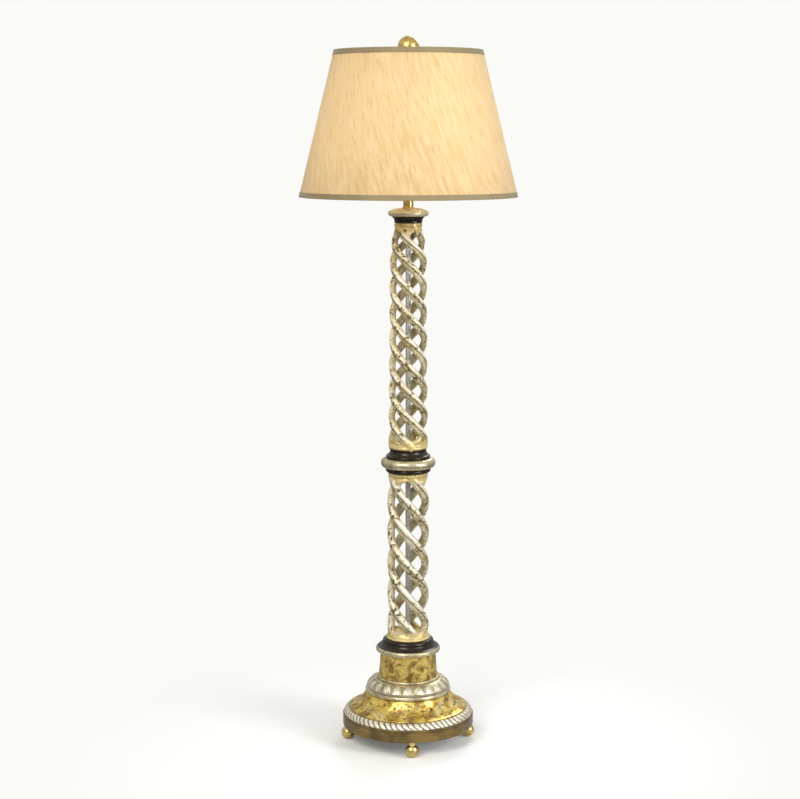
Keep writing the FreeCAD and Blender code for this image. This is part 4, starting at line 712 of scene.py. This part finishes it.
make_turned(
    "plinth_bead", half_round(77.3, 218.0, 13.4, ROD_HOLE), SILVER,
    around=320, wobble=0.25,
)

make_turned("plinth_ring", [
    (ROD_HOLE, 231.4), (73.5, 231.4), (61.5, 241.0, 16.0, -1), (60.9, 241.0),
    (56.0, 250.8, 7.84, 1), (ROD_HOLE, 250.8),
], EBONISED, step=0.9, around=288, wobble=0.15)

# ----------------------------------------------------------------------------------------------
# Knop, cap, neck and finial
# ----------------------------------------------------------------------------------------------

make_turned(
    "knop_foot_ring", half_round(53.4, 655.8, 11.0, ROD_HOLE), EBONISED,
    around=256, wobble=0.12,
)
make_turned(
    "knop", half_round(64.8, 666.8, 23.0, ROD_HOLE), SILVER,
    around=288, wobble=0.3,
)
make_turned("knop_cavetto", [
    (ROD_HOLE, 689.8), (48.6, 689.8), (52.6, 693.8, 4.0, 1), (48.6, 697.8, 4.0, 1),
    (43.4, 712.3, 14.0, -1), (ROD_HOLE, 712.3),
], EBONISED, step=0.8, around=256, wobble=0.12)
make_turned("cap_cove", [
    (ROD_HOLE, 1245.8), (33.0, 1245.8), (42.0, 1260.8, 13.0, -1), (ROD_HOLE, 1260.8),
], EBONISED, step=0.8, around=224, wobble=0.12)
make_turned("cap_dish", [
    (ROD_HOLE, 1260.8), (43.0, 1260.8), (47.7, 1267.3, 7.48, 1), (42.5, 1273.8, 7.48, 1),
    (16.0, 1279.4, 76.3, 1), (ROD_HOLE, 1279.4),
], SMOOTH_LEAF, step=1.0, around=256, wobble=0.25)
make_turned("neck_tube", [
    (ROD_HOLE, 1279.4), (13.6, 1279.4), (13.6, 1282.0), (11.9, 1282.0), (11.9, 1321.4),
    (ROD_HOLE, 1321.4),
], LAMP_BRASS, step=0.9, around=96, wobble=0.0)


def finial_piece():
    """A turned brass ball on a short foot, screwed down on the riser."""
    corners = [
        (5.1, 1612.3), (11.0, 1612.3), (11.0, 1614.4), (7.6, 1615.8), (7.6, 1624.8),
        (24.7, 1648.3, 24.7, 1), (0.01, 1673.0, 24.7, 1), (0.01, 1636.3), (5.1, 1636.3),
    ]
    points, faces = turned_ring(follow(corners, 1.0), 128)
    mesh = mesh_from("finial_ball", points, faces)
    finished_piece("finial_turned", mesh, LAMP_BRASS, "finial", ["finial"])


finial_piece()

# ----------------------------------------------------------------------------------------------
# Open twists
# ----------------------------------------------------------------------------------------------


class Twist:
    """One open column: four left-handed strands between two collars, with an arch at each end."""

    # how far below the column's top its strands begin to draw in and to wind faster, and over
    # what height they do so
    PINCH_BELOW, PINCH_OVER = 75.0, 60.0
    HURRY_BELOW, HURRY_OVER = 125.0, 110.0

    def __init__(
        self, low, high, foot_circle, head_circle, thick, tall, pitch, crossing,
        pinch, yellow, hurry,
    ):
        self.low, self.high = low, high
        self.foot_circle, self.head_circle = foot_circle, head_circle
        self.thick, self.tall = thick, tall
        self.pitch, self.crossing = pitch, crossing
        # how far the strands draw in at the head, how much yellow gold lies on them, and how
        # many degrees further they wind near the head
        self.pinch, self.yellow, self.hurry = pinch, yellow, hurry

    def circle(self, height):
        """The strands' centre circle at a height."""
        part = np.clip((height - self.low) / (self.high - self.low), 0.0, 1.0)
        drawn_in = np.clip((height - (self.high - self.PINCH_BELOW)) / self.PINCH_OVER, 0.0, 1.0)
        drawn_in = drawn_in * drawn_in * (3.0 - 2.0 * drawn_in) * self.pinch
        return self.foot_circle + (self.head_circle - self.foot_circle) * part - drawn_in

    def heading(self, height):
        """The heading of the first strand at a height, in degrees."""
        near = np.clip((height - (self.high - self.HURRY_BELOW)) / self.HURRY_OVER, 0.0, 1.0)
        return (self.crossing - height) / self.pitch * 360.0 - self.hurry * near * near

    def climb(self, height):
        """The strands' slope from level, in radians."""
        return np.arctan2(self.pitch, 2.0 * math.pi * self.circle(height))


def at(radius, heading, height):
    """A point, or points, from a radius, a heading in degrees and a height."""
    turn = np.radians(heading)
    return np.stack(np.broadcast_arrays(radius * np.sin(turn), -radius * np.cos(turn), height), axis=-1)


def bar_along(path, half_out, half_up, sides):
    """A closed bar along a path, oval across: half_out towards the column's outside."""
    path = np.asarray(path)
    ahead = np.gradient(path, axis=0)
    ahead = ahead / np.linalg.norm(ahead, axis=1)[:, None]
    outward = path * [1.0, 1.0, 0.0]
    outward = outward - ahead * np.sum(outward * ahead, axis=1)[:, None]
    outward = outward / np.linalg.norm(outward, axis=1)[:, None]
    across = np.cross(ahead, outward)
    angle = np.linspace(0.0, 2.0 * math.pi, sides, endpoint=False)
    half_out = np.broadcast_to(half_out, len(path))
    half_up = np.broadcast_to(half_up, len(path))
    ring = (
        path[:, None, :]
        + outward[:, None, :] * (half_out[:, None] * np.cos(angle))[:, :, None]
        + across[:, None, :] * (half_up[:, None] * np.sin(angle))[:, :, None]
    )
    rows = len(path)
    faces = []
    for row in range(rows - 1):
        for side in range(sides):
            after = (side + 1) % sides
            here, above = row * sides, (row + 1) * sides
            faces.append((here + side, here + after, above + after, above + side))
    faces.append(tuple(reversed(range(sides))))
    faces.append(tuple((rows - 1) * sides + side for side in range(sides)))
    return ring.reshape(-1, 3), faces


def arch_paths(twist, edge, towards):
    """The curve of an arch from a strand to a collar, and two more that fill its spandrel.

    edge is the collar's inner face; towards is 1 at the head and -1 at the foot.
    """
    rise, turn = 24.0, 52.0
    start = edge - towards * rise
    t = np.linspace(0.0, 1.0, 14)
    paths = []
    for layer in (0.0, 0.45, 0.9):
        lift = np.sin(t * math.pi / 2.0)
        lift = lift + layer * (1.0 - lift)
        height = start + towards * rise * lift
        sweep = twist.heading(start) + towards * turn * (1.0 - np.cos(t * math.pi / 2.0))
        paths.append((twist.circle(height), sweep, height, layer))
    return paths


def rough_twist(twist, collars):
    """The column's strands, arches and collars as overlapping closed bars and rings."""
    points, faces, count = [], [], 0

    def collect(more_points, more_faces):
        nonlocal count
        points.append(np.asarray(more_points))
        faces.extend([tuple(int(i) + count for i in face) for face in more_faces])
        count += len(more_points)

    for outline in collars:
        collect(*turned_ring(np.array(outline), 160))
    foot_edge, head_edge = twist.low + collars_height(collars[0]), twist.high - collars_height(collars[1])
    heights = np.linspace(twist.low + 3.0, twist.high - 3.0, 260)
    for strand in range(4):
        around = 90.0 * strand
        path = at(twist.circle(heights), twist.heading(heights) + around, heights)
        slope = twist.climb(heights)
        # the section is an upright oval of half height 'tall' cut square to the strand
        collect(*bar_along(path, twist.thick, twist.tall * np.cos(slope), 28))
        for edge, towards in ((head_edge, 1.0), (foot_edge, -1.0)):
            for radius, sweep, height, layer in arch_paths(twist, edge, towards):
                out = twist.thick * (0.80 - 0.22 * layer)
                collect(*bar_along(at(radius, sweep + around, height), out, 5.2, 16))
    return np.concatenate(points), faces


def collars_height(outline):
    """How far a collar's outline reaches along the column."""
    heights = [corner[1] for corner in outline]
    return max(heights) - min(heights)


def fused(name, points, faces, cell_mm, passes):
    """One skin over overlapping closed pieces, with soft inner corners."""
    mesh = mesh_from(name, points, faces)
    rough = bpy.data.objects.new(name, mesh)
    bpy.context.collection.objects.link(rough)
    remesh = rough.modifiers.new("skin", "REMESH")
    remesh.mode = "VOXEL"
    remesh.voxel_size = cell_mm / MM
    smooth = rough.modifiers.new("soften", "SMOOTH")
    smooth.factor = 0.5
    smooth.iterations = passes
    seen = rough.evaluated_get(bpy.context.evaluated_depsgraph_get())
    skin = bpy.data.meshes.new_from_object(seen)
    skin.name = name
    bpy.data.objects.remove(rough)
    return skin


def vertex_array(mesh):
    flat = np.empty(len(mesh.vertices) * 3)
    mesh.vertices.foreach_get("co", flat)
    return flat.reshape(-1, 3) * MM


def normal_array(mesh):
    flat = np.empty(len(mesh.vertices) * 3)
    mesh.vertex_normals.foreach_get("vector", flat)
    return flat.reshape(-1, 3)


def make_twist(name, twist, foot_outline, head_outline):
    """Fuse, carve and gild one open column."""
    points, faces = rough_twist(twist, [foot_outline, head_outline])
    mesh = fused(name, points, faces, 1.5, 3)
    place = vertex_array(mesh)
    normals = normal_array(mesh)
    radius = np.hypot(place[:, 0], place[:, 1])
    heading = np.degrees(np.arctan2(place[:, 0], -place[:, 1]))
    height = place[:, 2]
    slope = twist.climb(height)
    offset = (heading - twist.heading(height) + 45.0) % 90.0 - 45.0
    strand_number = np.round((heading - twist.heading(height) - offset) / 90.0)
    # where the point lies on its strand: across it (up positive), out from it, along it
    level_apart = np.radians(offset) * twist.circle(height)
    across = level_apart * np.sin(slope)
    outward = radius - twist.circle(height)
    along = height / np.sin(slope) + level_apart * np.cos(slope) + strand_number * 37.0
    half_wide = twist.tall * np.cos(slope)
    on_strand = np.clip((1.35 - np.hypot(across / half_wide, outward / twist.thick)) * 5.0, 0.0, 1.0)
    foot_edge = twist.low + collars_height(foot_outline)
    head_edge = twist.high - collars_height(head_outline)
    free = np.clip(np.minimum(height - foot_edge, head_edge - height) / 10.0, 0.0, 1.0)
    outer = np.clip(outward / twist.thick * 1.6 + 0.6, 0.0, 1.0)
    # a rib along the strand with a cut below it, and short slanting leaf cuts on its lower face
    seam = groove(across + 0.15 * half_wide + 1.4 * grain_at(place, 16.0), 4.0)
    leafy = groove(waves(along / 11.0 + across / 13.0 + 0.5 * grain_at(place, 26.0)), 0.34)
    leafy = leafy * np.clip(0.25 - across / half_wide * 2.5, 0.0, 1.0)
    pits = np.clip((grain_at(place, 5.0, 5.0) - 0.22) * 4.0, 0.0, 1.0)
    patch = np.clip(0.8 + 1.5 * grain_at(place, 26.0, 1.0), 0.0, 1.0)
    carve = on_strand * free * outer
    cut = carve * np.clip(1.6 * seam + 1.5 * leafy * patch + 1.4 * pits * patch, 0.0, 1.0)
    stand = 0.55 * rolling_grain(place, 15.0) * (0.3 + 0.7 * free)
    stand = stand - 1.7 * cut
    rib = carve * groove(across - 0.45 * half_wide, 1.1 * half_wide) * 0.9
    stand = stand + 1.1 * rib
    place = place + normals * stand[:, None]
    mesh.vertices.foreach_set("co", (place / MM).ravel())
    mesh.update()
    # painted shade on the strands' inner faces, which look in towards the rod
    inner = np.clip(-outward / twist.thick * 1.1, 0.0, 1.0) * free
    # a dark line where each collar's gold ring meets its cone
    ringed = groove(height - twist.high + 8.5, 1.8) + groove(height - twist.low - 7.8, 1.8)
    glaze_and_shade = np.clip(cut + 0.55 * inner + 0.8 * ringed, 0.0, 1.0)
    # a painted highlight, with rubbed leaf, along the rib on each strand's upper side
    wear_and_highlight = np.clip(rib * (1.0 - 0.6 * patch) - cut, 0.0, 1.0)
    gilt = np.clip(1.0 - free + twist.yellow + 0.35 * (grain_at(place, 30.0, 9.0) > 0.45), 0.0, 1.0) * 0.65
    finished_piece(
        name + "_carved", mesh, AGED_LEAF, "root", [name],
        {"glaze_and_shade": glaze_and_shade, "wear_and_highlight": wear_and_highlight, "gilt": gilt},
    )


def collar_outline(level, towards, ring, ring_height, neck, total):
    """A collar as (radius, height): a half-round ring at the end and a cone to the strands."""
    nose = ring_height / 2.0
    outline = [(ROD_HOLE, level)]
    for angle in np.radians(np.linspace(-90.0, 90.0, 9)):
        out = ring - nose + nose * math.cos(angle)
        outline.append((out, level + towards * (nose + nose * math.sin(angle))))
    outline += [(neck, level + towards * total), (ROD_HOLE, level + towards * total)]
    return outline if towards > 0 else outline[::-1]


LOWER = Twist(250.8, 655.8, 40.6, 40.6, 8.8, 18.0, 300.5, 581.5, 2.0, 0.0, 0.0)
UPPER = Twist(712.3, 1245.8, 39.2, 34.6, 7.6, 14.6, 242.4, 1151.5, 7.5, 0.15, 26.0)

make_twist(
    "lower_twist", LOWER,
    collar_outline(250.8, 1.0, 53.6, 5.4, 47.5, 14.0),
    collar_outline(655.8, -1.0, 47.2, 7.0, 43.0, 13.0),
)
make_twist(
    "upper_twist", UPPER,
    collar_outline(712.3, 1.0, 46.4, 9.5, 43.0, 17.0),
    collar_outline(1245.8, -1.0, 32.4, 7.5, 31.0, 15.0),
)

# ----------------------------------------------------------------------------------------------
# Shade and bulbs
# ----------------------------------------------------------------------------------------------

SHADE_LOW, SHADE_HIGH = 1306.0, 1640.0
SHADE_WIDE, SHADE_NARROW = 254.0, 171.7


def cloth_radius(height):
    """The cloth's outer radius at a height from the floor."""
    part = (height - SHADE_LOW) / (SHADE_HIGH - SHADE_LOW)
    return SHADE_WIDE + (SHADE_NARROW - SHADE_WIDE) * part


def cone_skin(name, inset, thick, low, high, rows, around, finish, node, fold=0.0):
    """A thin sloping skin with a true inside and outside, closed at both edges."""
    heights = np.linspace(low, high, rows)
    outer = [(cloth_radius(h) - inset, h) for h in heights]
    inner = [(cloth_radius(h) - inset - thick, h) for h in heights[::-1]]
    points, faces = turned_ring(np.array(outer + inner), around)
    if fold:
        radius = np.hypot(points[:, 0], points[:, 1])
        points[:, :2] *= (1.0 + fold * rolling_grain(points, 90.0) / radius)[:, None]
    mesh = mesh_from(name, points, faces)
    return finished_piece(name, mesh, finish, "shade", [node])


cloth = cone_skin(
    "shade_cloth_cone", 0.0, 1.0, SHADE_LOW, SHADE_HIGH, 90, 360, CLOTH,
    "shade_fabric", 0.25,
)
lining = cone_skin(
    "shade_lining_cone", 1.3, 0.7, SHADE_LOW, SHADE_HIGH, 60, 240, LINING,
    "shade_lining",
)


def ribbon(name, low, high, node, lip):
    """A ribbon glued round an edge of the shade and turned over it by a narrow lip."""
    outer = [(cloth_radius(h) + 0.75, h) for h in np.linspace(low, high, 12)]
    inner = [(cloth_radius(h) + 0.1, h) for h in np.linspace(high, low, 12)]
    # the lip: 0.5 mm thick, reaching 2 mm in over the cloth's edge
    edge = high if lip > 0 else low
    under = edge - lip * 0.5
    glued, reach = cloth_radius(edge) + 0.1, cloth_radius(edge) - 2.0
    if lip > 0:
        inner = [(reach, edge), (reach, under), (glued, under)] + inner[1:]
    else:
        inner = inner[:-1] + [(glued, under), (reach, under), (reach, edge)]
    points, faces = turned_ring(np.array(outer + inner), 360)
    mesh = mesh_from(name, points, faces)
    return finished_piece(name, mesh, BRAID, "shade", [node])


top_ribbon = ribbon("top_ribbon", SHADE_HIGH - 11.5, SHADE_HIGH + 0.8, "top_trim", 1)
bottom_ribbon = ribbon("bottom_ribbon", SHADE_LOW - 0.8, SHADE_LOW + 11.5, "bottom_trim", -1)

# ----------------------------------------------------------------------------------------------
# Floor, light and camera
# ----------------------------------------------------------------------------------------------


def pale_floor():
    """A round pale floor that fades out before its edge, so that only the shadow shows.

    It glows a little to the camera alone, which keeps it as pale as the backdrop.
    """
    mesh = bpy.data.meshes.new("floor")
    work = bmesh.new()
    bmesh.ops.create_circle(work, cap_ends=True, segments=96, radius=3.0)
    work.to_mesh(mesh)
    work.free()
    floor = bpy.data.objects.new("floor", mesh)
    bpy.context.collection.objects.link(floor)
    material = bpy.data.materials.new("pale_floor")
    material.use_nodes = True
    tree = material.node_tree
    tree.nodes.clear()
    place = add(tree, "ShaderNodeTexCoord").outputs["Object"]
    far = add(tree, "ShaderNodeVectorMath", {0: place}, operation="LENGTH").outputs["Value"]
    fade = step_between(tree, far, 0.28, 0.95)
    surface = add(tree, "ShaderNodeBsdfDiffuse", {"Color": paint("#f6f6f3")})
    clear = add(tree, "ShaderNodeBsdfTransparent")
    lift = add(tree, "ShaderNodeLightPath").outputs["Is Camera Ray"]
    bright = add(tree, "ShaderNodeEmission", {"Color": paint("#fafaf7"), "Strength": 0.12})
    nothing = add(tree, "ShaderNodeEmission", {"Strength": 0.0})
    lifted = add(tree, "ShaderNodeMixShader", {0: lift, 1: nothing.outputs[0], 2: bright.outputs[0]})
    surface = add(tree, "ShaderNodeAddShader", {0: surface.outputs[0], 1: lifted.outputs[0]})
    mixed = add(tree, "ShaderNodeMixShader", {0: fade, 1: surface.outputs[0], 2: clear.outputs[0]})
    add(tree, "ShaderNodeOutputMaterial", {"Surface": mixed.outputs[0]})
    mesh.materials.append(material)


def room_light():
    """An even pale surround: what the camera and the metals see, and a softer fill light."""
    world = bpy.data.worlds.new("studio")
    bpy.context.scene.world = world
    world.use_nodes = True
    tree = world.node_tree
    tree.nodes.clear()
    path = add(tree, "ShaderNodeLightPath")
    seen = add(
        tree, "ShaderNodeMath",
        {0: path.outputs["Is Camera Ray"], 1: path.outputs["Is Transmission Ray"]},
        operation="MAXIMUM",
    )
    fill = add(tree, "ShaderNodeBackground", {"Color": paint("#e9edf2"), "Strength": 0.42})
    # the surround as metals see it: bright above, dimmer towards the floor
    place = add(tree, "ShaderNodeTexCoord").outputs["Generated"]
    up = add(tree, "ShaderNodeSeparateXYZ", {0: place}).outputs[2]
    level = step_between(tree, up, -0.35, 0.55)
    mirror_colour = blend_colours(tree, level, paint("#8f8a80"), paint("#fafaf7"))
    mirror = add(tree, "ShaderNodeBackground", {"Color": mirror_colour, "Strength": 0.8})
    lit = add(
        tree, "ShaderNodeMixShader",
        {0: path.outputs["Is Glossy Ray"], 1: fill.outputs[0], 2: mirror.outputs[0]},
    )
    backdrop = add(tree, "ShaderNodeBackground", {"Color": paint("#fafaf7"), "Strength": 1.0})
    mixed = add(
        tree, "ShaderNodeMixShader",
        {0: seen.outputs[0], 1: lit.outputs[0], 2: backdrop.outputs[0]},
    )
    add(tree, "ShaderNodeOutputWorld", {"Surface": mixed.outputs[0]})


def soft_box(name, place, aim, width, height, watts, colour):
    """A studio soft box, aimed at a point."""
    data = bpy.data.lights.new(name, "AREA")
    data.shape = "RECTANGLE"
    data.size, data.size_y = width, height
    data.energy = watts
    data.color = paint(colour)[:3]
    lamp = bpy.data.objects.new(name, data)
    lamp.location = place
    lamp.rotation_euler = (Vector(aim) - Vector(place)).to_track_quat("-Z", "Y").to_euler()
    bpy.context.collection.objects.link(lamp)


def bulb_light(name, place, watts):
    """The light that a bulb throws inside the shade and out of its two open ends."""
    data = bpy.data.lights.new(name, "POINT")
    data.energy = watts
    data.color = paint("#fffaf0")[:3]
    data.shadow_soft_size = 0.034
    lamp = bpy.data.objects.new(name, data)
    lamp.location = place
    bpy.context.collection.objects.link(lamp)


def camera_as_photographed():
    """Pinhole camera 4.25 m in front of the lamp and 1.46 m up, tilted down 8.4 degrees."""
    data = bpy.data.cameras.new("camera")
    data.lens = 1820.0 * 36.0 / 800.0
    data.sensor_width = 36.0
    camera = bpy.data.objects.new("camera", data)
    camera.location = (-0.0194, -4.254, 1.457)
    camera.rotation_euler = (math.radians(90.0 - 8.4), 0.0, 0.0)
    bpy.context.collection.objects.link(camera)
    bpy.context.scene.camera = camera


pale_floor()
room_light()
soft_box("key_light", (-1.4, -3.1, 3.0), (0.0, 0.0, 0.8), 1.8, 2.0, 100.0, "#fffaf2")
soft_box("fill_light", (2.8, -2.0, 1.8), (0.0, 0.0, 0.8), 1.6, 2.0, 84.0, "#fdfdff")
soft_box("rim_light", (0.8, 2.6, 2.6), (0.0, 0.0, 0.9), 1.2, 1.2, 30.0, "#ffffff")
bulb_light("bulb_light_left", (-0.1, 0.0, 1.448), 1.0)
bulb_light("bulb_light_right", (0.1, 0.0, 1.448), 1.0)
camera_as_photographed()

bpy.context.scene.view_settings.view_transform = "Standard"
